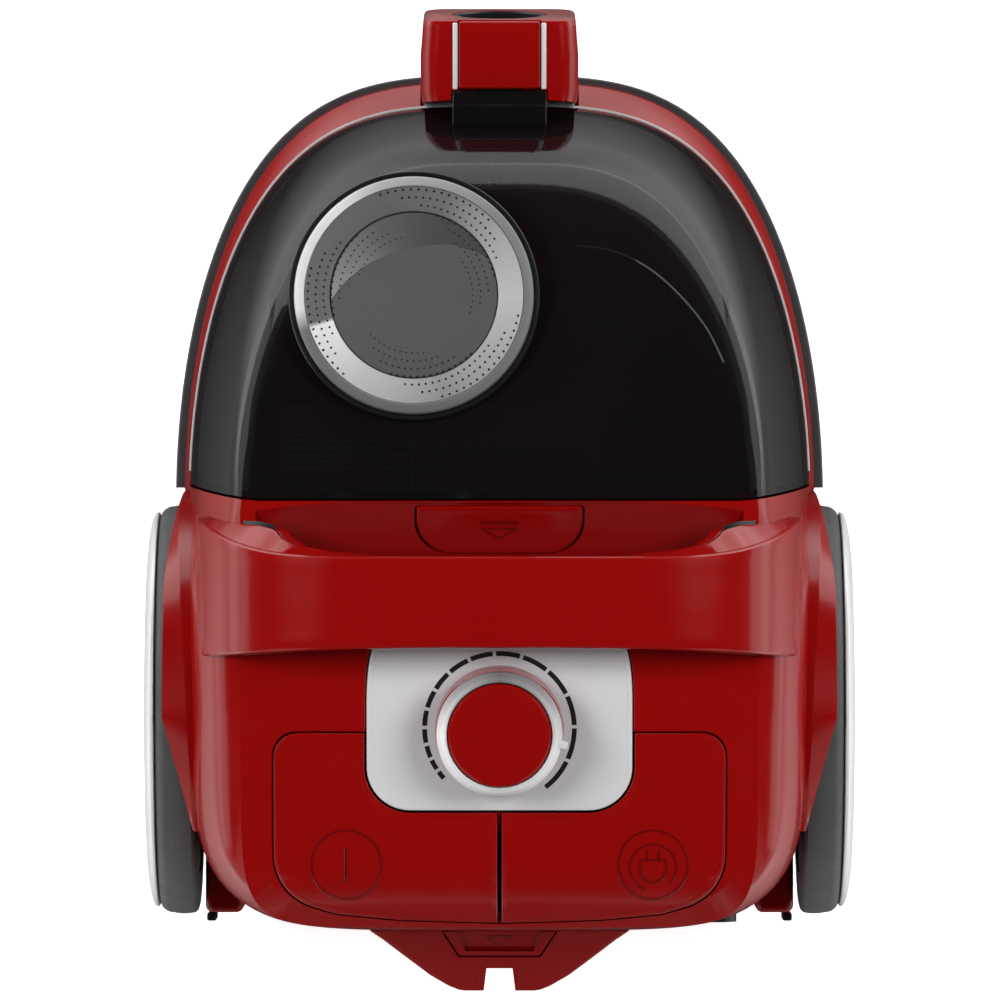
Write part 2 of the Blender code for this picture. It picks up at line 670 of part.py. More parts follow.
def build_socket():
    """A framed housing on the front rim with a round bore, tilted up a little."""
    middle = (0, 176, SOCKET_Z)
    half, low, high = 31.4, -27.0, 27.0
    outline = []
    for sx, sz, start in ((1, -1, 270), (1, 1, 0), (-1, 1, 90), (-1, -1, 180)):
        outline += arc((sx * (half - 9), sz * (high - 9)), 9, start, start + 90, 4)
    rings = []
    for y, grow in ((-24, -2.0), (-10, 0.0), (15.5, 0.0), (18.2, -1.4)):
        scale = (half + grow) / half
        rings.append([(x * scale, y, z * scale) for x, z in outline])
    turn = socket_turn()
    housing = part("hose_socket", loft(rings), RED, middle, turn)
    bore = rod(SOCKET_BORE, 80, axis="Y", segments=32)
    cut(housing, cutter("socket_bore", bore, middle, turn))
    cut(housing, cutter("socket_seat", prism(front_outline(-0.6), 50, 300)))
    cut(housing, cutter("cover_recess", box((-16.6, -12, 24.4), (16.6, 20, 40)), middle, turn))
    cut(housing, cutter("window_recess", box((-19.2, -40, 16.4), (19.2, -9.4, 40)), middle, turn))
    lid = box((-16.2, -8.8, 24.8), (16.2, 17.8, 28.0))
    part("socket_cover", lid, RED, middle, turn, smooth=False)
    window = part("container_snout", box((-18.8, 148, 141), (18.8, 162.6, 150)), SMOKE, smooth=False)
    cut(window, cutter("snout_seat", form(inset=-0.4)))


# ---------------------------------------------------------------- wheels
def build_wheels():
    for name, side in (("left", -1), ("right", 1)):
        centre = (0, WHEEL_Y, WHEEL_R)
        tread = [
            (WHEEL_R - 1.5, WHEEL_IN),
            (WHEEL_R, WHEEL_IN + 2.5),
            (WHEEL_R, WHEEL_OUT - 5),
            (WHEEL_R - 4, WHEEL_OUT),
            (RIM_R + 0.4, WHEEL_OUT),
            (RIM_R + 0.4, WHEEL_IN),
        ]
        rim = [
            (RIM_R, WHEEL_IN + 0.5),
            (RIM_R, WHEEL_OUT - 3),
            (RIM_R - 5.6, WHEEL_OUT - 3),
            (RIM_R - 5.6, WHEEL_IN + 6),
            (AXLE_R + 5, WHEEL_IN + 6),
            (AXLE_R + 5, WHEEL_OUT - 5),
            (AXLE_R + 0.4, WHEEL_OUT - 5),
            (AXLE_R + 0.4, WHEEL_IN + 0.5),
        ]
        cap = [(0, WHEEL_OUT - 2.5), (RIM_R - 0.2, WHEEL_OUT - 2.5), (RIM_R - 0.2, WHEEL_OUT + 0.4)]
        cap += [(HUBCAP_R, WHEEL_OUT + 0.4), (HUBCAP_R, WHEEL_OUT + 1.4), (HUBCAP_R - 3, WHEEL_OUT + 3)]
        cap += [(66, HUBCAP_OUT - 0.5), (56, HUBCAP_OUT)]
        cap += [(34, HUBCAP_OUT - 2.0), (14, HUBCAP_OUT - 0.6), (0, HUBCAP_OUT - 0.2)]
        for piece, profile, spec, closed, steps in (
            ("tyre", tread, RUBBER, True, 40),
            ("wheel_rim", rim, GREY, True, 24),
            ("hubcap", cap, SILVER, False, 32),
        ):
            flipped = [(radius, side * height) for radius, height in profile]
            part(f"{name}_{piece}", turned(flipped, "X", steps, closed), spec, centre)
        axle = rod(AXLE_R, 24, (side * (WHEEL_OUT - 5.5 - 12), 0, 0), "X", 16)
        part(f"{name}_wheel_axle", axle, STEEL, centre)


def build_caster():
    fork = rod(22, 3, (0, 0, 38), segments=28)
    swivel = (0, CASTER_Y, 0)
    fork_obj = part("caster_fork", fork, DARK, swivel)
    for side in (-1, 1):
        low = (side * 10.5 - 1.5, -CASTER_TRAIL - 6, 8)
        arm = box(low, (side * 10.5 + 1.5, -CASTER_TRAIL + 8, 38))
        join(fork_obj, cutter(f"fork_arm_{side}", arm, swivel))
    cut(fork_obj, cutter("fork_hole", rod(2.4, 40, (0, -CASTER_TRAIL, CASTER_R), "X", 14), swivel))
    hub = (0, CASTER_Y - CASTER_TRAIL, CASTER_R)
    wheel = [(2.4, -8.4), (CASTER_R - 1, -8.4), (CASTER_R, -7)]
    wheel += [(CASTER_R, 7), (CASTER_R - 1, 8.4), (2.4, 8.4)]
    part("caster_wheel", turned(wheel, "X", 24), RUBBER, hub)
    part("caster_axle", rod(2.0, 24, (0, 0, 0), "X", 14), STEEL, hub)


# ---------------------------------------------------------------- inside
def build_motor():
    centre = (MOTOR_X, 0, MOTOR_Z)
    fan = [(21, -14), (FAN_R, -14), (FAN_R, -48), (FAN_R - 2.5, -48), (FAN_R - 2.5, -16.5), (21, -16.5)]
    part("fan_cover", turned(fan, "Y", 24), COPPER, centre)
    wheel = [(4.4, -20), (12, -20), (FAN_R - 5, -24), (FAN_R - 5, -36), (4.4, -38)]
    part("impeller", turned(wheel, "Y", 20), COPPER, centre)
    body = [(4.6, -48.5), (FAN_R - 0.2, -48.5), (FAN_R - 0.2, -51), (MOTOR_R, -54)]
    body += [(MOTOR_R, -104), (4.6, -104)]
    part("motor_body", turned(body, "Y", 20), COPPER, centre)
    part("motor_shaft", rod(4.0, 90, (0, -63, 0), "Y", 16), STEEL, centre)
    part("motor_seal", ring_tube(FAN_R - 1, FAN_R - 6, -13.6, -9.0, "Y", 20), BLACK, centre)
    part("inlet_filter", rod(FAN_R - 3, 4.0, (0, -6.4, 0), "Y", 28), FOAM, centre)


def build_reel():
    low, high = REEL_X
    centre = (0, REEL_Y, REEL_Z)
    flange = [(5.4, low), (REEL_R, low), (REEL_R, low + 2.5), (24, low + 2.5)]
    flange += [(24, high - 2.5), (REEL_R, high - 2.5), (REEL_R, high), (5.4, high)]
    part("cord_reel", turned(flange, "X", 24), GREY, centre)
    part("reel_spindle", rod(5.0, 64, (50, 0, 0), "X", 16), STEEL, centre)
    part("cord_outlet", ring_tube(9.0, 4.0, -5, 5, "Y", 24), BLACK, (86, -164, 112))


# ---------------------------------------------------------------- rear
def tail_half(y):
    """Half width of the tail in plan at y, an S-curve from the body down to the tip."""
    share = min(1.0, max(0.0, (-171 - y) / 26))
    return 61 - 26 * share**0.85 - 20 * share**4


def tail_top(y):
    return 128 - 1.15 * (-171 - y)


def sloped_prism(outline, low, high):
    """An outline raised between two offsets from the tail's sloping top."""
    return loft([[(x, y, tail_top(y) + offset) for x, y in outline] for offset in (low, high)])


def build_exhaust():
    ys = [-172.2, -174, -177, -180, -184, -188, -191, -194, -TAIL_REACH]
    top = [(-tail_half(y), y) for y in ys] + [(tail_half(y), y) for y in reversed(ys)]
    rings = []
    for shift, level in ((9, 62), (1, 72), (0, 80)):
        rings.append([(x, max(y, shift - TAIL_REACH), level) for x, y in top])
    rings.append([(x * 0.96, y, tail_top(y)) for x, y in top])
    cover = part("exhaust_cover", loft(rings), RED)
    inside = cutter("exhaust_inside", box((-40, -186, 84), (40, -160, 103)))
    slot = cutter("parking_slot", prism([(-5.2, -188), (-6.6, -200), (6.6, -200), (5.2, -188)], 40, 150))
    pocket_plan = [(-30.8, -160), (-16.5, -183.3), (16.5, -183.3), (30.8, -160)]
    pocket = cutter("latch_pocket", prism(pocket_plan, 106, 150))
    cut(cover, inside, slot, pocket)
    latch = [(-22.6, -172.4), (-16, -182.8), (16, -182.8), (22.6, -172.4)]
    recess = [(-18.5, -170), (-13.5, -180.8), (13.5, -180.8), (18.5, -170)]
    local = sloped_prism(latch, -4.2, -0.5)
    bmesh.ops.translate(local, vec=(0, -LATCH_AXIS[0], -LATCH_AXIS[1]), verts=local.verts)
    tab = part("exhaust_latch", local, RED, (0, *LATCH_AXIS), smooth=False)
    cut(tab, cutter("finger_recess", sloped_prism(recess, -2.4, 5)))
    part("exhaust_filter", box((-50, -165.2, 80), (50, -157.4, 129)), FOAM, smooth=False)


def build_feet_and_screws():
    for name, side in (("left", -1), ("right", 1)):
        foot = box((-1.9, -3.2, -11), (1.9, 0, 11))
        part(f"{name}_rear_foot", foot, BLACK, (side * 117.1, -168.0, 45), smooth=False)
    for i, (x, y) in enumerate(SCREWS):
        screw = turned([(0, 0.3), (3.5, 0.3), (3.5, 1.4), (0, 2.4)], segments=12, closed=False)
        part(f"base_screw_{i + 1}", screw, STEEL, (x, y, BASE_Z))


SCREWS = [(-80, 96), (80, 96), (-84, -110), (84, -110)]

clear_scene()
PARTS = make_collection("canister_vacuum_cleaner", False)
CUTTERS = make_collection("cutters", True)
build_upper_casing()
build_lower_casing()
build_bumper_strip()
build_handle()
build_control_panel()
build_pedals()
build_pedal_works()
build_knob()
build_electronics()
build_release_button()
build_container()
build_cradle()
build_socket()
build_wheels()
build_caster()
build_motor()
build_reel()
build_exhaust()
build_feet_and_screws()
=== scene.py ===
from math import cos, hypot, pi, radians, sin

import bmesh
import bpy
from mathutils import Matrix, Vector, geometry


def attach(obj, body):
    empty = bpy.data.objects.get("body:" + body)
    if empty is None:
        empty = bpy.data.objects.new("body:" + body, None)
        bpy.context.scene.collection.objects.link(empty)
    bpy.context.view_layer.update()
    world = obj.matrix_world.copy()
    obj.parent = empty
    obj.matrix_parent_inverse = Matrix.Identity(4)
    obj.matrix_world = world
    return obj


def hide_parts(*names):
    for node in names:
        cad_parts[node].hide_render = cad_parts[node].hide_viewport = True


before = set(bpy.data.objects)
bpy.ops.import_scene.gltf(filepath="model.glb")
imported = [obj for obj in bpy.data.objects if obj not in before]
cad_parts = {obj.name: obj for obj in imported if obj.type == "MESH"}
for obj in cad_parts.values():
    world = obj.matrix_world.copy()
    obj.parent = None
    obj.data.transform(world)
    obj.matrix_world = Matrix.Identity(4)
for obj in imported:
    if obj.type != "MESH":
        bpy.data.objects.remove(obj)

MM = 0.001

# The dimensions of part.py, in millimetres
WHEEL_R, WHEEL_Y, WHEEL_IN, WHEEL_OUT = 82.5, -84.5, 121.0, 136.8
HUBCAP_R, HUBCAP_OUT, RIM_R, AXLE_R = 79.6, 141.5, 65.6, 4.0
ARCH_R, ARCH_IN = 85.5, 118.2
ARCH_LIP_FRONT, ARCH_LIP, ARCH_LIP_REAR = 126.5, 133.5, 121.5
BASE_Z, STRIP_Z, CASING_Z, RIM_Z, BAND_Z = 22.0, 64.0, 77.0, 102.0, 91.0
WALL, GAP = 3.0, 0.35
SIDE_END = -60.0
STRIP = (131.0, 172.0, 117.5, 109.0)
BAND = (127.5, 169.3, 123.5, 111.0)
RIM = (124.2, 158.4, 123.5, 111.0)
CREASE = (101.0, 110.0, 101.5, 108.5)
PANEL_HALF, PANEL_FRONT, PANEL_REAR, PANEL_R = 52.0, -57.0, -121.6, 17.0
PANEL_CORNER = (3.6, 22.0)
KNOB_Y, KNOB_R, KNOB_TILT = -89.6, 24.6, radians(6.0)
PEDAL_OUT, PEDAL_IN, PEDAL_FRONT, PEDAL_REAR = 88.6, 0.8, -91.2, -166.6
TAIL_REACH, TAIL_ROOT = 197.6, -171.0
CAP_X, CAP_Y, CAP_Z, CAP_R, CAP_TILT = -33.5, 80.0, 202.5, 47.0, radians(-6.0)
SEAM_Y, FLOOR_Z = 0.6, 68.0
HANDLE_END, HANDLE_TOP, HANDLE_FOOT = 119.5, 238.0, 168.0
MOTOR_X, MOTOR_Z = -38.0, 112.0
SOCKET_Y, SOCKET_Z, SOCKET_TILT, SOCKET_BORE = 176.0, 124.0, radians(8.0), 19.0
CASTER_Y = 112.0
SCREWS = [(-80, 96), (80, 96), (-84, -110), (84, -110)]
CREASE_ANGLE = radians(78)


# ---------------------------------------------------------------- materials
def new_material(name):
    made = bpy.data.materials.new(name)
    made.use_nodes = True
    return made, made.node_tree, made.node_tree.nodes["Principled BSDF"]


def add_node(tree, kind, **inputs):
    made = tree.nodes.new(kind)
    for key, value in inputs.items():
        made.inputs[key.replace("_", " ")].default_value = value
    return made


def noise(tree, scale, detail=3.0, stretch=(1, 1, 1)):
    """Noise over the object's own space; scale counts features per metre."""
    place = tree.nodes.new("ShaderNodeTexCoord")
    mapping = add_node(tree, "ShaderNodeMapping", Scale=stretch)
    made = add_node(tree, "ShaderNodeTexNoise", Scale=scale, Detail=detail)
    tree.links.new(place.outputs["Object"], mapping.inputs["Vector"])
    tree.links.new(mapping.outputs["Vector"], made.inputs["Vector"])
    return made.outputs["Fac"]


def spread(tree, source, low, high, start=0.3, end=0.7):
    """Maps a 0-1 value between start and end to low-high."""
    made = add_node(tree, "ShaderNodeMapRange")
    for socket, value in (("From Min", start), ("From Max", end), ("To Min", low), ("To Max", high)):
        made.inputs[socket].default_value = value
    tree.links.new(source, made.inputs["Value"])
    return made.outputs["Result"]


def scratches(tree):
    """Sparse hair scratches: 1 on a scratch, 0 elsewhere."""
    lines = noise(tree, 60, 2.0, (1, 18, 1))
    patch = noise(tree, 14, 2.0)
    thin = spread(tree, lines, 0, 1, 0.685, 0.70)
    where = spread(tree, patch, 0, 1, 0.55, 0.62)
    both = tree.nodes.new("ShaderNodeMath")
    both.operation = "MULTIPLY"
    tree.links.new(thin, both.inputs[0])
    tree.links.new(where, both.inputs[1])
    return both.outputs["Value"]


def bump(tree, shader, source, depth, normal=None):
    """Adds relief of the given depth in metres."""
    made = add_node(tree, "ShaderNodeBump", Strength=1.0, Distance=depth)
    tree.links.new(source, made.inputs["Height"])
    if normal is not None:
        tree.links.new(normal, made.inputs["Normal"])
    tree.links.new(made.outputs["Normal"], shader.inputs["Normal"])
    return made.outputs["Normal"]


def tint(tree, shader, colour, source, contrast):
    """Lets the base colour drift by contrast around colour."""
    mix = tree.nodes.new("ShaderNodeMix")
    mix.data_type = "RGBA"
    mix.inputs["A"].default_value = (*[c * (1 - contrast) for c in colour], 1)
    mix.inputs["B"].default_value = (*[min(1, c * (1 + contrast)) for c in colour], 1)
    tree.links.new(source, mix.inputs["Factor"])
    tree.links.new(mix.outputs["Result"], shader.inputs["Base Color"])


def plastic(name, colour, rough, grain=2600, relief=0.000004, wear=0.05, contrast=0.05, worn=True):
    """Moulded plastic: a slight drift of colour and gloss, fine grain and a few hair scratches."""
    made, tree, shader = new_material(name)
    shader.inputs["IOR"].default_value = 1.49
    tint(tree, shader, colour, noise(tree, 22, 2.0), contrast)
    drift = spread(tree, noise(tree, 45, 4.0), rough - wear / 2, rough + wear)
    if worn:
        total = tree.nodes.new("ShaderNodeMath")
        total.operation = "MULTIPLY_ADD"
        tree.links.new(scratches(tree), total.inputs[0])
        total.inputs[1].default_value = 0.05
        tree.links.new(drift, total.inputs[2])
        drift = total.outputs["Value"]
    tree.links.new(drift, shader.inputs["Roughness"])
    bump(tree, shader, noise(tree, grain, 3.0), relief)
    return made


def metal(name, colour, rough, grain, relief, stretch=(1, 1, 1), metallic=1.0):
    made, tree, shader = new_material(name)
    shader.inputs["Metallic"].default_value = metallic
    tint(tree, shader, colour, noise(tree, 30, 3.0), 0.05)
    fine = noise(tree, grain, 2.0, stretch)
    tree.links.new(spread(tree, fine, rough - 0.04, rough + 0.06), shader.inputs["Roughness"])
    bump(tree, shader, fine, relief)
    return made


def swept_reflection_metal(name, stops, rough, metallic=0.1):
    """Spun metal whose grey runs round the object's own Z axis, as painted reflection: lighter and darker
    sectors stand in for the lights reflected in it; stops are (share of a turn, grey).
    """
    made, tree, shader = new_material(name)
    shader.inputs["Metallic"].default_value = metallic
    place = tree.nodes.new("ShaderNodeTexCoord")
    sweep = tree.nodes.new("ShaderNodeTexGradient")
    sweep.gradient_type = "RADIAL"
    ramp = tree.nodes.new("ShaderNodeValToRGB")
    tree.links.new(place.outputs["Object"], sweep.inputs["Vector"])
    tree.links.new(sweep.outputs["Fac"], ramp.inputs["Fac"])
    elements = ramp.color_ramp.elements
    for i, (share, grey) in enumerate(stops):
        stop = elements[i] if i < len(elements) else elements.new(share)
        stop.position = share
        stop.color = (grey, grey, grey * 1.01, 1)
    flat = tree.nodes.new("ShaderNodeVectorMath")
    flat.operation = "MULTIPLY"
    flat.inputs[1].default_value = (1, 1, 0)
    reach = tree.nodes.new("ShaderNodeVectorMath")
    reach.operation = "LENGTH"
    rings = add_node(tree, "ShaderNodeTexNoise", Scale=2600, Detail=3.0)
    rings.noise_dimensions = "1D"
    tree.links.new(place.outputs["Object"], flat.inputs[0])
    tree.links.new(flat.outputs["Vector"], reach.inputs[0])
    tree.links.new(reach.outputs["Value"], rings.inputs["W"])
    shade = tree.nodes.new("ShaderNodeMix")
    shade.data_type = "RGBA"
    shade.blend_type = "MULTIPLY"
    shade.inputs["Factor"].default_value = 1.0
    tree.links.new(ramp.outputs["Color"], shade.inputs["A"])
    tree.links.new(spread(tree, rings.outputs["Fac"], 0.9, 1.08), shade.inputs["B"])
    tree.links.new(shade.outputs["Result"], shader.inputs["Base Color"])
    gloss = spread(tree, rings.outputs["Fac"], rough - 0.04, rough + 0.06)
    tree.links.new(gloss, shader.inputs["Roughness"])
    bump(tree, shader, rings.outputs["Fac"], 0.000003)
    return made


def smoked_glass(name, colour, alpha, rough):
    """Tinted clear plastic: glossy, partly see-through, with faint flow marks."""
    made, tree, shader = new_material(name)
    shader.inputs["IOR"].default_value = 1.52
    tint(tree, shader, colour, noise(tree, 18, 2.0), 0.2)
    shader.inputs["Alpha"].default_value = alpha
    tree.links.new(spread(tree, noise(tree, 60, 4.0), rough, rough + 0.035), shader.inputs["Roughness"])
    bump(tree, shader, noise(tree, 900, 2.0), 0.0000003)
    return made


def rubber(name, colour):
    made, tree, shader = new_material(name)
    tint(tree, shader, colour, noise(tree, 60, 5.0), 0.18)
    tree.links.new(spread(tree, noise(tree, 240, 4.0), 0.5, 0.72), shader.inputs["Roughness"])
    bump(tree, shader, noise(tree, 1800, 4.0), 0.00002)
    return made


def foam(name, colour):
    made, tree, shader = new_material(name)
    cells = noise(tree, 900, 6.0)
    tint(tree, shader, colour, cells, 0.35)
    shader.inputs["Roughness"].default_value = 0.95
    bump(tree, shader, cells, 0.0003)
    return made


# Greys round the cap's spun faces and the knob's ring, as (share of a turn, grey): apart from the nearly
# even disc, they are painted reflections, lighter and darker sectors fixed to each face
DISC_GREYS = [(0.0, 0.1), (0.5, 0.095), (1.0, 0.1)]
PAINTED_SHEEN_GREYS = [(0.0, 0.55), (0.5, 0.11), (0.7, 0.14), (0.83, 0.22), (0.94, 0.42), (1.0, 0.55)]
BAND_PAINTED_REFLECTION = [(0.0, 0.14), (0.045, 0.14), (0.05, 0.8), (0.16, 0.5), (0.3, 0.28)]
BAND_PAINTED_REFLECTION += [(0.5, 0.5), (0.58, 0.4), (0.7, 0.15), (0.8, 0.12), (1.0, 0.14)]
RIM_PAINTED_REFLECTION = [(0.0, 0.7), (0.02, 0.7), (0.05, 0.16), (0.25, 0.14), (0.5, 0.18)]
RIM_PAINTED_REFLECTION += [(0.62, 0.22), (0.8, 0.42), (0.86, 0.7), (1.0, 0.7)]
KNOB_PAINTED_REFLECTION = [(0.0, 0.95), (0.25, 0.62), (0.45, 0.8), (0.62, 0.4), (0.75, 0.2), (0.88, 0.5), (1.0, 0.95)]


def make_materials():
    """Every finish by name: the record's material slots first, then finishes that only scene.py uses."""
    return {
        "red_plastic": plastic("red_gloss", (0.262, 0.003, 0.0026), 0.14),
        "dark_grey_plastic": plastic("dark_grey_satin", (0.05, 0.05, 0.053), 0.38, 3800, 0.00001),
        "black_plastic": plastic("black_satin", (0.009, 0.009, 0.0095), 0.32, 3800, 0.00001),
        "grey_plastic": plastic("grey_satin", (0.16, 0.16, 0.165), 0.45, 3800, 0.00001),
        "silver_paint": metal("silver_paint_flake", (0.76, 0.76, 0.77), 0.34, 4200, 0.000004, metallic=0.2),
        "smoky_plastic": smoked_glass("smoked_shell", (0.006, 0.006, 0.0065), 0.68, 0.05),
        "tyre_rubber": rubber("tyre_tread_rubber", (0.085, 0.085, 0.088)),
        "steel": metal("bright_steel", (0.55, 0.55, 0.56), 0.25, 2500, 0.000005, (1, 1, 8)),
        "filter_foam": foam("filter_pleats", (0.5, 0.51, 0.46)),
        "green_board": plastic("board_lacquer", (0.02, 0.11, 0.05), 0.5),
        "motor_metal": metal("cast_motor_metal", (0.38, 0.39, 0.41), 0.42, 1500, 0.00002),
        "cap_disc": swept_reflection_metal("spun_disc", DISC_GREYS, 0.42),
        # Painted highlight: the lighter crescent over the cap's disc.
        "cap_painted_sheen": swept_reflection_metal("spun_painted_sheen", PAINTED_SHEEN_GREYS, 0.4),
        # Painted reflection: the cap's band and rim get greys swept round them.
        "cap_band_painted_reflection": swept_reflection_metal("spun_band_painted_reflection", BAND_PAINTED_REFLECTION, 0.36),
        "cap_rim_painted_reflection": swept_reflection_metal("spun_rim_painted_reflection", RIM_PAINTED_REFLECTION, 0.3),
        # Painted reflection: the knob ring's grey swept round it.
        "knob_sheen": swept_reflection_metal("knob_ring_painted_sheen", KNOB_PAINTED_REFLECTION, 0.3),
        "ink": plastic("printed_ink", (0.012, 0.012, 0.013), 0.5, worn=False),
        # Painted shade: a darker copy of the red for the shade on raised icons.
        "mark_red": plastic("mark_dark_red", (0.15, 0.0015, 0.0013), 0.22),
        "chamber_red": plastic("chamber_red_satin", (0.2, 0.006, 0.005), 0.45),
        # Painted highlight: a bright trim for lines where an edge catches the light.
        "bright_edge": metal("painted_highlight_trim", (0.8, 0.8, 0.81), 0.2, 3000, 0.000002, metallic=0.2),
    }


# ---------------------------------------------------------------- mesh helpers
def box(low, high):
    bm = bmesh.new()
    bmesh.ops.create_cube(bm, size=1)
    bmesh.ops.scale(bm, vec=[b - a for a, b in zip(low, high)], verts=bm.verts)
    bmesh.ops.translate(bm, vec=[(b + a) / 2 for a, b in zip(low, high)], verts=bm.verts)
    return bm


def soft_box(low, high, radius=0.6, segments=3):
    bm = box(low, high)
    bmesh.ops.bevel(
        bm, geom=bm.edges[:] + bm.verts[:], offset=radius, segments=segments, profile=0.5, affect="EDGES"
    )
    return bm


def face_axis(bm, axis):
    turns = {"X": Matrix.Rotation(pi / 2, 3, "Y"), "Y": Matrix.Rotation(-pi / 2, 3, "X")}
    if axis in turns:
        bmesh.ops.rotate(bm, cent=(0, 0, 0), matrix=turns[axis], verts=bm.verts)
    return bm


def rod(radius, length, middle=(0, 0, 0), axis="Z", segments=64):
    bm = bmesh.new()
    bmesh.ops.create_cone(
        bm, cap_ends=True, segments=segments, radius1=radius, radius2=radius, depth=length
    )
    face_axis(bm, axis)
    bmesh.ops.translate(bm, vec=middle, verts=bm.verts)
    return bm


def turned(profile, axis="Z", segments=96, closed=True, middle=(0, 0, 0)):
    """Spins (radius, height) points about an axis; an open profile starts and ends on it."""
    bm = bmesh.new()
    points = [bm.verts.new((radius, 0, height)) for radius, height in profile]
    pairs = list(zip(points, points[1:]))
    if closed:
        pairs.append((points[-1], points[0]))
    edges = [bm.edges.new(pair) for pair in pairs]
    bmesh.ops.spin(
        bm, geom=points + edges, cent=(0, 0, 0), axis=(0, 0, 1), angle=2 * pi, steps=segments, use_merge=True
    )
    bmesh.ops.remove_doubles(bm, verts=bm.verts, dist=0.0005)
    face_axis(bm, axis)
    bmesh.ops.translate(bm, vec=middle, verts=bm.verts)
    return bm


def loft(rings, closed_rows=False, caps=True):
    """Joins rings of equal length into one skin, capped at its ends or joined into a loop."""
    bm = bmesh.new()
    rows = [[bm.verts.new(point) for point in ring] for ring in rings]
    pairs = list(zip(rows, rows[1:]))
    if closed_rows:
        pairs.append((rows[-1], rows[0]))
    for lower, upper in pairs:
        for i in range(len(lower)):
            j = (i + 1) % len(lower)
            bm.faces.new((lower[i], lower[j], upper[j], upper[i]))
    if caps and not closed_rows:
        bm.faces.new(list(reversed(rows[0])))
        bm.faces.new(rows[-1])
    return bm


def prism(outline, low, high):
    return loft([[(x, y, z) for x, y in outline] for z in (low, high)])


def side_prism(outline, low_x, high_x):
    """An outline of (y, z) points stretched along X."""
    return loft([[(x, y, z) for y, z in outline] for x in (low_x, high_x)])


def arc(centre, radius, start, end, steps):
    """Points of an arc, in degrees."""
    angles = [radians(start + (end - start) * i / steps) for i in range(steps + 1)]
    return [(centre[0] + radius * cos(a), centre[1] + radius * sin(a)) for a in angles]


def mirrored(outline):
    return [(-x, y) for x, y in reversed(outline)]


def anticlockwise(loop):
    area = sum(a[0] * b[1] - b[0] * a[1] for a, b in zip(loop, loop[1:] + loop[:1]))
    return loop if area > 0 else list(reversed(loop))


def smooth_line(points, steps=6):
    """A curve through the points (Catmull-Rom), with steps points per span."""
    made = []
    last = len(points) - 1
    for i in range(last):
        a, b = points[max(i - 1, 0)], points[i]
        c, d = points[i + 1], points[min(i + 2, last)]
        for k in range(steps):
            t = k / steps
            point = []
            for p, q, r, s in zip(a, b, c, d):
                square, cube = 2 * p - 5 * q + 4 * r - s, 3 * q - p - 3 * r + s
                point.append(0.5 * (2 * q + (r - p) * t + square * t**2 + cube * t**3))
            made.append(tuple(point))
    return made + [tuple(points[-1])]


def inset_loop(loop, distance):
    """An anticlockwise loop moved inwards by distance."""
    made = []
    for i, (x, y) in enumerate(loop):
        before, after = loop[i - 1], loop[(i + 1) % len(loop)]
        first = Vector((before[1] - y, x - before[0])).normalized()
        second = Vector((y - after[1], after[0] - x)).normalized()
        middle = (first + second).normalized()
        step = distance / max(0.4, middle.dot(first))
        made.append((x + middle.x * step, y + middle.y * step))
    return made


def inside(point, loop):
    """Whether a plan point lies inside a loop."""
    x, y = point
    found = False
    for (ax, ay), (bx, by) in zip(loop, loop[1:] + loop[:1]):
        if (ay > y) != (by > y) and x < ax + (y - ay) * (bx - ax) / (by - ay):
            found = not found
    return found


def pad(outline, height, edge=0.6, depth=4.0, spacing=3.0):
    """A plate whose top and underside follow height(x, y), with rounded top edges."""
    loop = anticlockwise(outline)
    steps = 4
    rows = [(0.0, depth), (0.0, edge)]
    for i in range(1, steps + 1):
        angle = pi / 2 * i / steps
        rows.append((edge * (1 - cos(angle)), edge * (1 - sin(angle))))
    bm = bmesh.new()
    rings = []
    for shift, drop in rows:
        ring = inset_loop(loop, shift)
        rings.append([bm.verts.new((x, y, height(x, y) - drop)) for x, y in ring])
    for lower, upper in zip(rings, rings[1:]):
        for i in range(len(lower)):
            j = (i + 1) % len(lower)
            bm.faces.new((lower[i], lower[j], upper[j], upper[i]))
    fill(bm, rings[0], lambda x, y: height(x, y) - depth, spacing)
    fill(bm, rings[-1], height, spacing)
    return bm


def fill(bm, ring, height, spacing):
    """Fills a ring with small triangles that follow height(x, y)."""
    border = [(v.co.x, v.co.y) for v in ring]
    safe = inset_loop(border, spacing * 0.45)
    points = [Vector(p) for p in border]
    low_x, high_x = min(p[0] for p in border), max(p[0] for p in border)
    low_y, high_y = min(p[1] for p in border), max(p[1] for p in border)
    across = max(2, round((high_x - low_x) / spacing))
    along = max(2, round((high_y - low_y) / spacing))
    for i in range(1, across):
        for j in range(1, along):
            point = (low_x + (high_x - low_x) * i / across, low_y + (high_y - low_y) * j / along)
            if inside(point, safe):
                points.append(Vector(point))
    count = len(border)
    edges = [(i, (i + 1) % count) for i in range(count)]
    plane, _, faces, sources, _, _ = geometry.delaunay_2d_cdt(points, edges, [], 0, 1e-5)
    verts = []
    for position, source in zip(plane, sources):
        if source and source[0] < count:
            verts.append(ring[source[0]])
        else:
            verts.append(bm.verts.new((position.x, position.y, height(position.x, position.y))))
    for face in faces:
        middle = sum((plane[i] for i in face), Vector((0, 0))) / len(face)
        if inside(middle, border):
            bm.faces.new([verts[i] for i in face])


def ribbon(path, width, height, rise, closed=False, sink=0.3):
    """A raised line with rounded shoulders that follows height(x, y)."""
    section = [(-0.5, -sink), (-0.5, rise * 0.55), (-0.38, rise)]
    section += [(-share, lift) for share, lift in reversed(section)]
    rings = []
    last = len(path) - 1
    for i, (x, y) in enumerate(path):
        ahead = path[(i + 1) % len(path)] if closed else path[min(i + 1, last)]
        behind = path[i - 1] if closed else path[max(i - 1, 0)]
        run = Vector((ahead[0] - behind[0], ahead[1] - behind[1])).normalized()
        ring = []
        for share, lift in section:
            px, py = x - run.y * share * width, y + run.x * share * width
            ring.append((px, py, height(px, py) + lift))
        rings.append(ring)
    return loft(rings, closed_rows=closed)


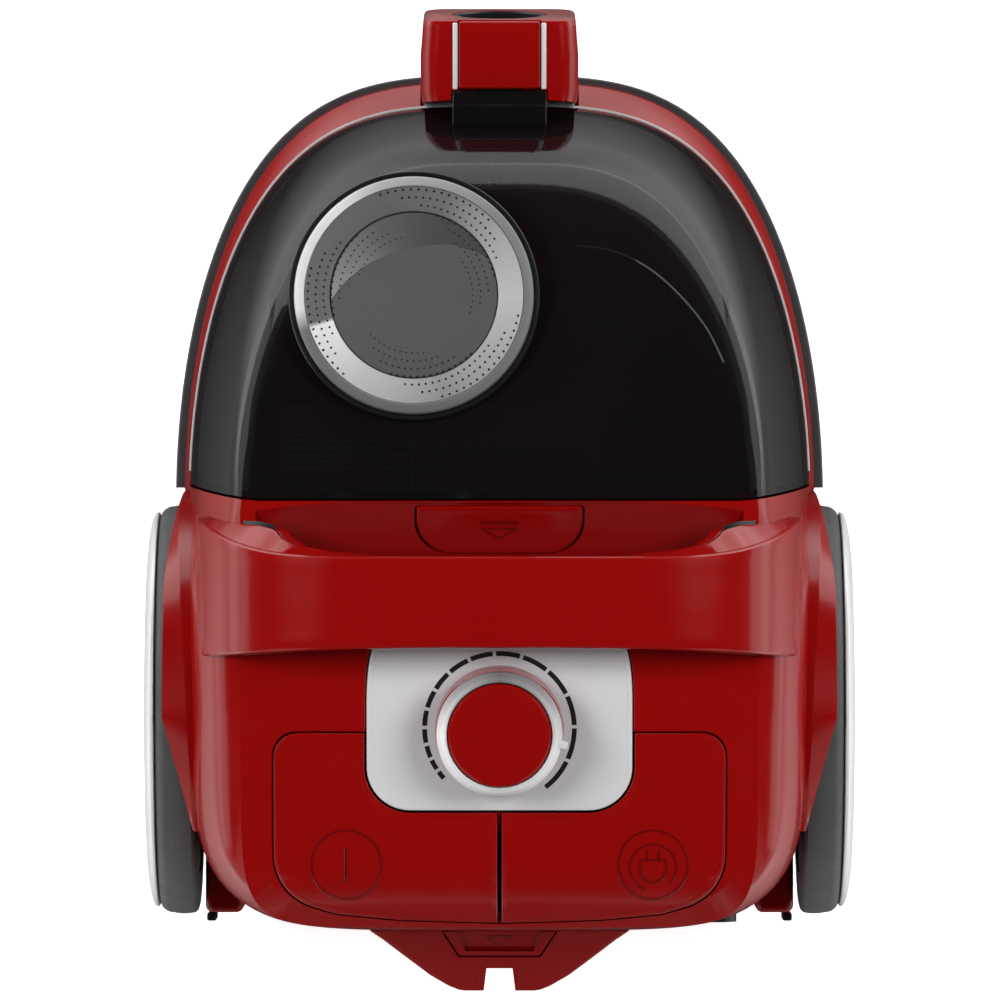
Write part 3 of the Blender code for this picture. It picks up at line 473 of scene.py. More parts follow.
def merged(*parts):
    """Several meshes as one."""
    whole = bmesh.new()
    for bm in parts:
        mesh = bpy.data.meshes.new("merging")
        bm.to_mesh(mesh)
        bm.free()
        whole.from_mesh(mesh)
        bpy.data.meshes.remove(mesh)
    return whole


def placed(bm, matrix):
    bmesh.ops.transform(bm, matrix=matrix, verts=bm.verts)
    return bm


def scratch_object(bm):
    bmesh.ops.recalc_face_normals(bm, faces=bm.faces)
    mesh = bpy.data.meshes.new("working")
    bm.to_mesh(mesh)
    bm.free()
    obj = bpy.data.objects.new("working", mesh)
    bpy.context.scene.collection.objects.link(obj)
    return obj


def carve(bm, *steps):
    """Applies (operation, mesh) Booleans in turn and returns the result as a new mesh."""
    target = scratch_object(bm)
    helpers = []
    for operation, other in steps:
        helper = scratch_object(other)
        helpers.append(helper)
        modifier = target.modifiers.new(operation, "BOOLEAN")
        modifier.operation = operation
        modifier.solver = "EXACT"
        modifier.object = helper
    graph = bpy.context.evaluated_depsgraph_get()
    result = bmesh.new()
    result.from_mesh(target.evaluated_get(graph).to_mesh())
    for obj in [target, *helpers]:
        mesh = obj.data
        bpy.data.objects.remove(obj)
        bpy.data.meshes.remove(mesh)
    return result


def cut(bm, *others):
    return carve(bm, *[("DIFFERENCE", other) for other in others])


def piece(name, bm, slot, body="machine", nodes=(), place=None, finish=None, sharp=28.0):
    """A finished piece: millimetres become metres, and it rides on its CAD body."""
    bmesh.ops.recalc_face_normals(bm, faces=bm.faces)
    bmesh.ops.scale(bm, vec=(MM, MM, MM), verts=bm.verts)
    mesh = bpy.data.meshes.new(name)
    bm.to_mesh(mesh)
    bm.free()
    mesh.materials.append(FINISH[finish or slot])
    mesh.shade_smooth()
    mesh.set_sharp_from_angle(angle=radians(sharp))
    obj = bpy.data.objects.new(name, mesh)
    bpy.context.scene.collection.objects.link(obj)
    if place is not None:
        obj.matrix_world = Matrix.Translation(place.translation * MM) @ place.to_3x3().to_4x4()
    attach(obj, body)
    if nodes:
        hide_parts(*nodes)
    return obj


def place_at(origin, turn=None):
    matrix = Matrix.Translation(Vector(origin))
    return matrix @ turn.to_4x4() if turn else matrix


# ---------------------------------------------------------------- the machine's form
def signed_power(value, power):
    if abs(value) < 1e-9:
        return 0.0
    return abs(value) ** power * (1 if value > 0 else -1)


def even_angles(point_at, start, end, count):
    """Angles from start to end that space the points evenly along the curve."""
    fine = 900
    angles = [start + (end - start) * i / fine for i in range(fine + 1)]
    points = [point_at(a) for a in angles]
    lengths = [0.0]
    for a, b in zip(points, points[1:]):
        lengths.append(lengths[-1] + hypot(b[0] - a[0], b[1] - a[1]))
    made, k = [], 0
    for i in range(count + 1):
        goal = lengths[-1] * i / count
        while k < fine - 1 and lengths[k + 1] < goal:
            k += 1
        share = (goal - lengths[k]) / max(1e-9, lengths[k + 1] - lengths[k])
        made.append(angles[k] + (angles[k + 1] - angles[k]) * share)
    return made


def front_point(outline, angle, squareness=3.3):
    return outline[0] * signed_power(cos(angle), 2 / squareness), outline[1] * sin(angle)


def rear_point(outline, angle, corner=4.8):
    x = outline[2] * signed_power(cos(angle), 2 / corner)
    return x, SIDE_END + outline[3] * signed_power(sin(angle), 2 / corner)


FRONT_ANGLES = even_angles(lambda a: front_point(RIM, a), 0.0, pi, 120)
REAR_ANGLES = even_angles(lambda a: rear_point(RIM, a), pi, 2 * pi, 96)


def plan(outline, inset=0.0, squareness=3.3, corner=4.8):
    """Points round an outline: a rounded front, straight sides and a square rear."""
    small = [size - inset for size in outline]
    points = [front_point(small, a, squareness) for a in FRONT_ANGLES]
    side = [-4.0, -13.0, -22.0, -32.0, -40.0, -48.0]
    points += [(-small[2], y) for y in side]
    points += [rear_point(small, a, corner) for a in REAR_ANGLES]
    return points + [(small[2], y) for y in reversed(side)]


def top_height(x, y):
    """Height of the crowned top: falling gently to the front and rear, faster at the rear edge."""
    fall = 0.00135 if y > -25 else 0.0008
    edge = 0.03 * max(0.0, -145 - y) ** 2
    return 211 - fall * (y + 25) ** 2 - edge - 5 * (x / 100) ** 2


def wall_fullness(y):
    """Power of the wall's rise: round beside the container, fuller behind it, over the wheels."""
    behind = min(1.0, max(0.0, (-4 - y) / 28))
    return 1.0 - 0.6 * behind


def form(inset=0.0, drop=0.0, low=CASING_Z, wall_steps=18, top_steps=16):
    """The whole upper form, container included, moved in by inset and down by drop."""
    edge = plan(RIM, inset)
    crease = plan(CREASE, inset, squareness=2.0, corner=9.0)
    rings = [[(x, y, low) for x, y in plan(BAND, inset)]]
    for i in range(1, 4):
        share = i / 3
        level = low + (BAND_Z - drop - low) * share
        rings.append([(x, y, level) for x, y in plan(BAND, inset + 1.2 * share**2)])
    shoulder = plan(BAND, inset + 1.2)
    for i in range(1, 7):
        share = i / 6
        bulge = sin(pi * share) * 0.6
        ring = []
        for (x0, y0), (x1, y1) in zip(shoulder, edge):
            out = 1 + bulge * 0.004
            x, y = x0 + (x1 - x0) * share, y0 + (y1 - y0) * share
            ring.append((x * out, y * out, BAND_Z + (RIM_Z - BAND_Z) * share - drop))
        rings.append(ring)
    for i in range(1, wall_steps + 1):
        angle = CREASE_ANGLE * i / wall_steps
        inward = (1 - cos(angle)) / (1 - cos(CREASE_ANGLE))
        upward = sin(angle) / sin(CREASE_ANGLE)
        ring = []
        for (x0, y0), (x1, y1) in zip(edge, crease):
            top = top_height(x1, y1) - inset
            x, y = x0 + (x1 - x0) * inward, y0 + (y1 - y0) * inward
            rise = upward ** wall_fullness(y0)
            ring.append((x, y, RIM_Z + (top - RIM_Z) * rise - drop))
        rings.append(ring)
    centre_y = -30.0
    for i in range(1, top_steps):
        scale = 1 - i / top_steps
        ring = []
        for x, y in crease:
            x, y = x * scale, centre_y + (y - centre_y) * scale
            ring.append((x, y, top_height(x, y) - inset - drop))
        rings.append(ring)
    return loft(rings)


def front_outline(inset, seam=SEAM_Y):
    """The container's outline in plan: the rim's front half, closed by a seam bent forward at its ends."""
    small = [size - inset for size in RIM]
    seam_end = seam + 6.0
    bend = [(94, seam), (101, seam + 0.6), (108, seam + 1.8), (116, seam + 3.6), (small[0], seam_end)]
    outline = list(bend)
    for angle in FRONT_ANGLES[1:-1]:
        x, y = front_point(small, angle)
        if y > seam_end + 0.5:
            outline.append((x, y))
    return outline + mirrored(bend)


TROUGH = [(-0.8, 208.3), (-23, 190), (-33, 178), (-41, 172), (-49, 175), (-54, 188), (-55.4, 212)]


def trough_outline(grow=0.0):
    """The finger trough under the handle, seen from the side as (y, z)."""
    line = smooth_line(TROUGH)
    made = []
    for i, (y, z) in enumerate(line):
        before, after = line[max(i - 1, 0)], line[min(i + 1, len(line) - 1)]
        run = Vector((after[0] - before[0], after[1] - before[1])).normalized()
        made.append((y - run.y * grow, z - abs(run.x) * grow))
    return [(-1.2 + grow * 0.2, 214), *made, (made[-1][0], 214)]


# ---------------------------------------------------------------- casings
def build_upper_casing():
    inner = cut(
        form(inset=WALL, low=60.0, wall_steps=8, top_steps=6),
        side_prism(trough_outline(WALL), -98.5, 98.5),
        box((-140, -4.0, 50), (140, 180, 260)),
    )
    cutters = [
        inner,
        side_prism(trough_outline(), -95.5, 95.5),
        prism(front_outline(-0.3, seam=-0.4), RIM_Z - 40, 260),
        side_prism([(-4.6, 50), (1, 50), (1, 194.5), (-4.6, 194.5)], -97, 97),
        box((-31.9, 150, 91.5), (31.9, 175, 110)),
        box((-46, -176, 83), (46, -160, 126)),
        rod(9.4, 40, (86, -165, 112), "Y"),
        flared(panel_outline(0.5), 0.0),
        flared(pedal_outline(-0.5), 0.0),
        flared(mirrored(pedal_outline(-0.5)), 0.0),
        placed(button_body(0.7, -14, 14), button_place()),
    ]
    for side in (1, -1):
        cutters.append(rod(ARCH_R + 3.7, 40, (side * 136.2, WHEEL_Y, WHEEL_R), "X", 120))
    piece("upper_shell", cut(form(), *cutters), "red_plastic", nodes=["upper_casing"], sharp=16)


def flared(outline, offset, flare=0.45):
    """A hole cutter whose rim opens out a little at the top surface, which leaves a small chamfer."""
    loop = anticlockwise(outline)
    rings = [[(x, y, 168) for x, y in loop]]
    for grow, lift in ((0.0, -flare), (flare, 0.02), (flare, 12.0)):
        ring = inset_loop(loop, -grow)
        rings.append([(x, y, top_height(x, y) + offset + lift) for x, y in ring])
    return loft(rings)


LOW = (108, 150, 108, 96)
MIDDLE = (120, 163, 117, 107)
HIGH = (127.2, 168.2, 117.5, 110.5)


def build_lower_casing():
    rings = [[(x, y, BASE_Z) for x, y in plan(LOW, 1.0)]]
    for i in range(1, 4):
        angle = pi / 2 * i / 3
        rings.append([(x, y, BASE_Z + 1.0 - cos(angle)) for x, y in plan(LOW, 1.0 - sin(angle))])
    for i in range(1, 9):
        share = i / 8
        swell = sin(pi / 2 * share)
        outline = [a + (b - a) * swell for a, b in zip(LOW, MIDDLE)]
        rings.append([(x, y, BASE_Z + 1.0 + (36 - BASE_Z - 1.0) * share) for x, y in plan(outline)])
    for i in range(1, 9):
        share = i / 8
        outline = [a + (b - a) * sin(pi / 2 * share) for a, b in zip(MIDDLE, HIGH)]
        rings.append([(x, y, 36 + (STRIP_Z - GAP - 36) * share) for x, y in plan(outline)])
    rings.append([(x, y, CASING_Z - GAP) for x, y in plan(HIGH)])
    pocket = rod(30, 30, (0, CASTER_Y, 28), segments=96)
    holes = [rod(3.9, 5, (x, y, BASE_Z), segments=32) for x, y in SCREWS]
    ribs = [box((-70, y - 0.6, BASE_Z - 1), (70, y + 0.6, BASE_Z + 0.8)) for y in range(-60, 61, 12)]
    base = cut(loft(rings), pocket, *holes, *ribs)
    piece("base_shell", base, "red_plastic", nodes=["lower_casing"], sharp=22)
    for name, side in (("left", -1), ("right", 1)):
        piece(f"{name}_mudguard", mudguard(side), "red_plastic")
        lobe = soft_box((104, -167.6, 30), (119.4, -118, 62), 3.0, 5)
        piece(f"{name}_rear_lobe", placed(lobe, Matrix.Diagonal((side, 1, 1, 1))), "red_plastic")


def arch_lip(y):
    """How far out the mudguard's lip reaches at y: a pointed front, then a straight diagonal at the rear."""
    opening = sin(pi / 2 * min(1.0, max(0.0, (5 - y) / 45)))
    reach = ARCH_LIP_FRONT + (ARCH_LIP - ARCH_LIP_FRONT) * opening
    diagonal = ARCH_LIP - (ARCH_LIP - ARCH_LIP_REAR) * max(0.0, -86 - y) / 44
    return max(min(reach, diagonal), ARCH_IN + 2.4)


def mudguard(side):
    """A plate beside the body and a lip over the tyre, split by a ridge into a top and a sloping facet."""
    steps = 120
    rows = []
    for i in range(steps + 1):
        angle = radians(-6 + 128 * i / steps)
        y = WHEEL_Y + ARCH_R * cos(angle)
        lip = arch_lip(y)
        ridge = min(lip - 0.9, max(ARCH_IN + 1.7, 129.3 + 0.058 * (y - 5)))
        fall = 0.75 * (lip - ridge)
        crest = ARCH_R + 3.2
        section = [(ARCH_IN - 1.6, 12), (ARCH_IN - 1.6, crest - 0.5), (ARCH_IN - 1.1, crest)]
        section += [(ridge - 0.5, crest - 0.1), (ridge, crest - 0.25), (ridge + 0.4, crest - 0.5)]
        low = max(ARCH_R + 0.7, crest - fall)
        section += [(lip - 0.5, low), (lip - 0.1, low - 0.25), (lip, low - 0.6), (lip - 0.3, ARCH_R)]
        section += [(ARCH_IN + 1.6, ARCH_R), (ARCH_IN + 1.6, 12)]
        row = []
        for x, radius in section:
            row.append((side * x, WHEEL_Y + radius * cos(angle), WHEEL_R + radius * sin(angle)))
        rows.append(row)
    return loft(rows)


def build_bumper_strip():
    """A soft-edged strip round the front, proud of the casing."""
    outer = [front_point(STRIP, a) for a in FRONT_ANGLES]
    inner = [front_point((127.55, 168.55), a) for a in FRONT_ANGLES]
    low, high, edge = STRIP_Z, CASING_Z - 0.7, 1.2
    rings = []
    for (ox, oy), (ix, iy) in zip(outer, inner):
        out = Vector((ox - ix, oy - iy))
        run = out.normalized()
        tip = Vector((ix, iy)) + out
        near = tip - run * edge
        section = [(ix, iy, low), (near.x, near.y, low)]
        for k in range(1, 4):
            angle = -pi / 2 + pi / 2 * k / 3
            at = near + run * edge * cos(angle)
            section.append((at.x, at.y, low + edge + edge * sin(angle)))
        for k in range(4):
            angle = pi / 2 * k / 3
            at = near + run * edge * cos(angle)
            section.append((at.x, at.y, high - edge + edge * sin(angle)))
        section.append((ix, iy, high))
        rings.append([(x, max(y, 5.0), z) for x, y, z in section])
    piece("bumper_trim", loft(rings), "dark_grey_plastic", nodes=["bumper_strip"])


# ---------------------------------------------------------------- handle
HANDLE_LEAN = [(0.0, 0.0), (0.4, 0.4), (0.55, 1.9), (0.7, 3.6), (0.75, 5.6), (0.79, 8.8)]
HANDLE_LEAN += [(0.83, 8.8), (0.92, 6.0), (1.0, 3.2)]


def handle_lean(share):
    """How far the lower front edge reaches ahead of the top one, from the middle (0) to the end (1)."""
    for (low, before), (high, after) in zip(HANDLE_LEAN, HANDLE_LEAN[1:]):
        if share <= high:
            t = (share - low) / (high - low)
            return before + (after - before) * t * t * (3 - 2 * t)
    return HANDLE_LEAN[-1][1]


def handle_ring(x, low, high, edge, reach):
    """One cross-section of the handle at x, between two depths below its top face, with rounded edges."""
    share = abs(x) / HANDLE_END
    front = -21.9 + 15.0 * share**7
    rear = -57.5 - 4.5 * share**3
    arch = max(0.0, 1 - share**4) ** (1 / 2.2)
    turns = [pi / 2 * k / 4 for k in range(5)]
    outline = [(rear + edge - edge * sin(a), low - edge + edge * cos(a)) for a in turns]
    outline += [(rear + edge - edge * cos(a), high + edge - edge * sin(a)) for a in turns]
    crown = 0.35 if high == 0 else 0.0
    for k in range(1, 8):
        t = k / 8
        outline.append((rear + edge + (front - rear - 2 * edge) * t, high - crown * (sin(pi * t) - 1)))
    outline += [(front - edge + edge * sin(a), high + edge - edge * cos(a)) for a in turns]
    outline += [(front - edge + edge * cos(a), low - edge + edge * sin(a)) for a in turns]
    ring = []
    for y, depth in outline:
        forward = reach(handle_lean(share), depth, share) if y > (front + rear) / 2 else 0.0
        xx = (HANDLE_END - depth) * x / HANDLE_END
        ring.append((xx, y + forward, HANDLE_FOOT + (HANDLE_TOP - HANDLE_FOOT - depth) * arch))
    return ring


def handle_bar(low, high, edge, reach):
    steps = 60
    stations = []
    for i in range(-steps, steps + 1):
        u = abs(i) / steps
        share = 1 - (1 - u) ** 2.4
        stations.append(HANDLE_END * share * (1 if i > 0 else -1))
    return loft([handle_ring(x, low, high, edge, reach) for x in stations])


def build_handle():
    """Two shells, and a black strip between them that shows as a line along their front: painted shade
    standing in for the shadowed gap.
    """
    seat = dict(inset=-0.5, wall_steps=10, top_steps=6)

    def leaning(lean, depth, share):
        return lean * max(0.0, depth - 1.7) / 6.3

    def tucked(lean, depth, share):
        return max(0.0, lean - 1.2)

    def proud(lean, depth, share):
        return lean + (0.4 if share > 0.79 else -1.0)

    bars = [
        ("handle_upper_shell", "handle_upper", "red_plastic", handle_bar(8.0, 0.0, 1.7, leaning)),
        ("handle_lower_shell", "handle_lower", "red_plastic", handle_bar(14.0, 8.6, 0.8, tucked)),
        # Painted shade: the black strip stands in for the shadowed gap between the two shells.
        ("handle_shade_seam", None, "black_plastic", handle_bar(8.5, 8.1, 0.1, proud)),
    ]
    for name, node, slot, bar in bars:
        piece(name, cut(bar, form(**seat)), slot, nodes=[node] if node else [], sharp=22)


# ---------------------------------------------------------------- control panel, knob and pedals
def panel_outline(grow=0.0):
    """A rounded plate whose front corners are long and slim, where it runs under the handle."""
    half, front, rear = PANEL_HALF + grow, PANEL_FRONT + grow, PANEL_REAR - grow
    corners = [(-1, 1, 180, 90), (1, 1, 90, 0), (1, -1, 0, -90), (-1, -1, -90, -180)]
    points = []
    for sx, sy, start, end in corners:
        width, length = PANEL_CORNER if sy > 0 else (PANEL_R + grow, PANEL_R + grow)
        middle_y = front - length if sy > 0 else rear + length
        for x, y in arc((0, 0), 1, start, end, 14):
            points.append((sx * (half - width) + width * x, middle_y + length * y))
    return spaced(points)


def spaced(points, longest=4.0):
    """The loop with extra points on its long straight sides."""
    made = []
    for (ax, ay), (bx, by) in zip(points, points[1:] + points[:1]):
        count = max(1, round(hypot(bx - ax, by - ay) / longest))
        for i in range(count):
            made.append((ax + (bx - ax) * i / count, ay + (by - ay) * i / count))
    return made


def panel_height(x, y):
    return top_height(x, y) + 1.0


def build_control_panel():
    plate = pad(panel_outline(), panel_height, 0.9, 3.4)
    piece("panel_plate", plate, "silver_paint", nodes=["control_panel"])
    rim = anticlockwise(panel_outline(-1.6))
    piece("panel_bead", ribbon(rim, 0.7, panel_height, 0.12, closed=True), "silver_paint")
    piece("dial_scale", dial_scale(), "black_plastic", finish="ink")


def dial_scale():
    """Dashes round the knob that grow in length from lower left to lower right."""
    count, start, end = 15, radians(222), radians(-52)
    radius = 29.3
    shares = [0.25 + 0.75 * i / (count - 1) for i in range(count)]
    gap = radians(2.6)
    room = abs(end - start) - gap * (count - 1)
    marks = []
    angle = start
    for share in shares:
        sweep = room * share / sum(shares)
        steps = max(2, int(sweep / radians(2.5)))
        path = []
        for i in range(steps + 1):
            a = angle - sweep * i / steps
            path.append((radius * cos(a), KNOB_Y + 0.3 + radius * sin(a)))
        marks.append(ribbon(path, 1.9, panel_height, 0.06, sink=0.1))
        angle -= sweep + gap
    return merged(*marks)


def pedal_outline(inset=0.0):
    """Left pedal: beside and behind the control panel, with a rounded outer edge."""
    outer, inner = -PEDAL_OUT + inset, -PEDAL_IN - inset
    front, rear = PEDAL_FRONT - inset, PEDAL_REAR + inset
    beside = -PANEL_HALF - 0.9 - inset
    behind = PANEL_REAR - 0.9 - inset
    points = arc((outer + 9.5, front - 9.5), 9.5, 180, 90, 12)
    points += [(beside, front)]
    around = PANEL_R + 0.9 + inset
    points += arc((beside + around, behind + around), around, 180, 270, 16)
    points += [(inner, behind), (inner, rear)]
    points += [(-40, rear + 1.2), (-64, rear + 3.6)]
    points += arc((outer + 22, rear + 27.5), 22, 250, 180, 14)
    return list(reversed(points))


def pedal_height(x, y):
    return top_height(x, y) + 0.3


def circle(centre, radius, steps=64):
    return arc(centre, radius, 0, 360, steps)[:-1]


def build_pedals():
    for name, outline, side in (
        ("power_pedal", pedal_outline(), -1),
        ("rewind_pedal", mirrored(pedal_outline()), 1),
    ):
        cover = pad(spaced(outline), pedal_height, 0.7, 3.2)
        piece(f"{name}_cover", cover, "red_plastic", name, [name])
        rim = anticlockwise(inset_loop(anticlockwise(spaced(outline)), 1.5))
        piece(f"{name}_bead", ribbon(rim, 0.8, pedal_height, 0.1, closed=True), "red_plastic", name)
        middle = (side * 60.2, -143.2)
        ring = ribbon(circle(middle, 13.7), 0.9, pedal_height, 0.3, closed=True)
        mark = power_mark(middle) if side < 0 else plug_mark(middle)
        # The mark's darker red is painted shade on the raised icon ribs.
        piece(f"{name}_mark", merged(ring, mark), "red_plastic", name, finish="mark_red")


def power_mark(middle):
    """A standing bar."""
    x, y = middle
    path = [(x, y - 6.6 + 1.1 * i) for i in range(13)]
    return ribbon(path, 1.5, pedal_height, 0.35)


def plug_mark(middle):
    """A plug with two pins, and its cord curling round it."""
    x, y = middle
    body = [(x - 5, y + 2), (x - 5, y - 2), *arc((x, y - 2), 5, 180, 360, 12), (x + 5, y + 2)]
    cord = arc((x, y - 1), 9.2, 250, -40, 30)
    lines = [
        ribbon(spaced(body, 1.5), 1.1, pedal_height, 0.35, closed=True),
        ribbon([(x - 2.4, y + 2 + i) for i in range(5)], 1.1, pedal_height, 0.35),
        ribbon([(x + 2.4, y + 2 + i) for i in range(5)], 1.1, pedal_height, 0.35),
        ribbon(cord, 1.0, pedal_height, 0.3),
    ]
    return merged(*lines)


def build_knob():
    base = top_height(0, KNOB_Y) + 1.55
    place = place_at((0, KNOB_Y, base), Matrix.Rotation(KNOB_TILT, 3, "X"))
    collar = [(0, 0.3), (KNOB_R + 0.2, 0.3), (KNOB_R + 0.6, 0.8)]
    collar += [(KNOB_R + 0.3, 11.6), (KNOB_R - 0.4, 12.5), (0, 12.5)]
    out, low, high = KNOB_R, 12.9, 20.0
    ring = [(out - 0.5, low), (out, low + 0.5), (out, 16.2), (out - 0.25, 17.0)]
    for i in range(1, 8):
        t = i / 8
        ring.append((out - 0.25 - 2.9 * t, 17.0 + (high - 17.0) * sin(pi / 2 * t)))
    ring += [(21.3, high), (20.75, high - 0.35), (20.6, high - 0.9), (20.6, low)]
    cap = [(0, low), (20.2, low), (20.2, 19.5), (20.0, 20.0), (19.4, 20.4)]
    cap += [(18.4, 20.6), (14.0, 20.75), (8.0, 20.9), (0, 20.95)]
    skirt = turned(collar, segments=160, closed=False)
    button = turned(cap, segments=160, closed=False)
    piece("knob_skirt", skirt, "red_plastic", "power_knob", ["knob_collar"], place)
    band = turned(ring, segments=160)
    # The ring's finish is a painted reflection: bright at the left, darkest over the top.
    piece("knob_band", band, "silver_paint", "power_knob", ["knob_ring"], place, finish="knob_sheen")
    piece("knob_button", button, "red_plastic", "power_knob", ["knob_cap"], place)
    notch = soft_box((KNOB_R - 3.2, -1.5, 13.2), (KNOB_R + 2.2, 1.5, 18.6), 0.5)
    turn = Matrix.Rotation(radians(-9), 4, "Z")
    piece("knob_pointer", placed(notch, turn), "silver_paint", "power_knob", place=place)


# ---------------------------------------------------------------- release button
def button_place():
    """The trough's front slope, as a place whose Z stands off the slope."""
    slope = Vector((0, -21.8, -17.5)).normalized()
    turn = Matrix((Vector((1, 0, 0)), -slope, Vector((0, slope.z, -slope.y)))).transposed()
    return place_at((0, -12.0, 198.9), turn)


def button_outline(grow=0.0):
    """Nearly square corners at the front and long round ones at the rear."""
    half, front, rear = 32.6 + grow, 12.2 + grow, -11.4 - grow
    points = arc((half - 1.5, front - 1.5), 1.5, 0, 90, 5) + arc((-half + 1.5, front - 1.5), 1.5, 90, 180, 5)
    for side, start in ((-1, 180), (1, 270)):
        for x, y in arc((0, 0), 1, start, start + 90, 14):
            points.append((side * (half - 14.6) + 14.6 * x, rear + 17 + 17 * y))
    return points


def button_height(x, y):
    return 0.6


def button_body(grow, low, high):
    return prism(button_outline(grow), low, high)


def build_release_button():
    place = button_place()
    outline = []
    for point in button_outline():
        if not outline or hypot(point[0] - outline[-1][0], point[1] - outline[-1][1]) > 0.05:
            outline.append(point)
    top = pad(spaced(outline, 3.0), button_height, 0.8, 2.2)
    piece("release_button_cover", top, "red_plastic", "release_button", ["release_button"], place)
    bar = ribbon([(-7.2 + 1.2 * i, 4.6) for i in range(13)], 1.6, button_height, 0.3)
    corners = [(-7.0, 1.6), (0.0, -3.4), (7.0, 1.6)]
    sign = ribbon(spaced(corners, 1.0), 0.8, button_height, 0.3, closed=True)
    marks = merged(bar, sign)
    # The marks' darker red is painted shade on the raised ribs.
    piece("release_button_mark", marks, "red_plastic", "release_button", place=place, finish="mark_red")


# ---------------------------------------------------------------- dust container
def cap_place():
    return place_at((CAP_X, CAP_Y, CAP_Z), Matrix.Rotation(CAP_TILT, 3, "X"))


def build_container():
    boss = placed(rod(CAP_R + 1.6, 80, (0, 0, -40), segments=144), cap_place())
    hollow = placed(rod(CAP_R - 1.0, 77.4, (0, 0, -41.3), segments=144), cap_place())
    block = prism(front_outline(0.25), FLOOR_Z + GAP, 260)
    inner_block = prism(front_outline(2.85, SEAM_Y + 2.6), 50, 260)
    inner = carve(form(inset=2.6, low=60.0), ("INTERSECT", inner_block), ("UNION", hollow))
    holes = [box((-16, 130, 105), (16, 170, 137)), rod(34, 10, (MOTOR_X, 0, MOTOR_Z), "Y", 64)]
    shell = carve(form(low=66.0), ("INTERSECT", block), ("UNION", boss))
    shell = cut(shell, inner, *holes)
    piece("container_cover", shell, "smoky_plastic", "dust_container", ["container_shell"], sharp=16)

    floor = prism(front_outline(3.3, SEAM_Y + 3.2), FLOOR_Z - 2.4, FLOOR_Z + 1.0)
    skirt = prism(front_outline(0.6, SEAM_Y + 0.4), FLOOR_Z - 2.6, FLOOR_Z)
    plate = carve(floor, ("UNION", skirt))
    piece("container_base", plate, "black_plastic", "dust_container", ["container_floor"])
    build_container_details()
    build_cyclone()
    build_cap()


def under_top(x, y):
    """The inner face of the container's top."""
    return top_height(x, y) - 2.9


def build_container_details():
    """What shows through the smoky shell, with a black line of painted shade along the latch recess, and
    bright ribbons of painted highlight round the shell's lower edge and along the bowl's rim.
    """
    body = "dust_container"
    # Painted shade: a black ribbon under the top stands in for the dark line along the latch recess's edge.
    half = [(26.5, 19.0), (37.0, 9.0), (94.0, 8.2)]
    line = smooth_corner([(-x, y) for x, y in reversed(half)] + half)
    recess = ribbon(line, 1.1, under_top, 0.15, sink=0.5)
    piece("latch_recess_shade_line", recess, "black_plastic", body, finish="ink")
    chamber = soft_box((-86, 5, 150), (40, 37.0, 196), 2.5, 4)
    piece("rear_chamber", chamber, "red_plastic", body, finish="chamber_red")
    ribs = []
    for i in range(6):
        y = 12.5 + 2.6 * i
        ribs.append(soft_box((-84, y - 0.5, 195), (-44 if i % 2 else -20, y + 0.5, 197.6), 0.3, 2))
    piece("chamber_ribs", merged(*ribs), "grey_plastic", body)
    web = ribbon([(-34.5, 4 + 2.0 * i) for i in range(13)], 0.9, under_top, 0.1, sink=1.2)
    piece("chamber_web", web, "grey_plastic", body)
    # Painted highlight: a bright ribbon round the shell's lower edge stands in for the light caught along
    # it.
    edge = []
    for angle in FRONT_ANGLES[3:-3]:
        edge.append(front_point([size + 0.25 for size in RIM], angle))
    bead = [(x, y) for x, y in edge if y > 8]
    trim = ribbon(bead, 1.1, lambda x, y: RIM_Z + 0.6, 0.9, sink=1.5)
    piece("container_edge_highlight", trim, "silver_paint", body, finish="bright_edge")
    # Painted highlight: a bright ribbon along the bowl's rim inside.
    bowl = [(30.0, 100.2), (44.0, 98.2), (58.0, 91.6), (70.0, 81.4), (81.0, 68.0), (88.0, 54.0)]
    arch = ribbon(smooth_line(bowl, 10), 0.7, under_top, 0.1, sink=0.8)
    piece("bowl_rim_highlight", arch, "silver_paint", body, finish="bright_edge")


def smooth_corner(points, longest=1.5):
    """An open path with extra points along its spans."""
    made = []
    for (ax, ay), (bx, by) in zip(points, points[1:]):
        count = max(1, round(hypot(bx - ax, by - ay) / longest))
        for i in range(count):
            made.append((ax + (bx - ax) * i / count, ay + (by - ay) * i / count))
    return made + [points[-1]]


def build_cyclone():
    tube = [(22, -112), (24, -14), (23.4, -13), (21.6, -13), (21, -14), (19, -112)]
    piece("cyclone_pipe", turned(tube), "grey_plastic", "dust_container", ["cyclone_tube"], cap_place())
    steps = 40
    outer = []
    for i in range(steps + 1):
        pleat = 0.5 if i % 2 else 0.0
        outer.append((33 + 7 * i / steps + pleat, -104 + 84 * i / steps))
    sleeve = outer + [(38, -20), (31, -104)]
    sleeve = turned(sleeve)
    piece("filter_sleeve", sleeve, "dark_grey_plastic", "dust_container", ["mesh_filter"], cap_place())


# The cap's face, as (distance from its middle, height)
CAP_FACE = [(0, 2.9), (20, 2.85), (31.8, 2.75), (33.4, 3.1)]
CAP_FACE += [(42.2, 3.45), (43.0, 3.75), (46.3, 3.2), (47, 1.9)]


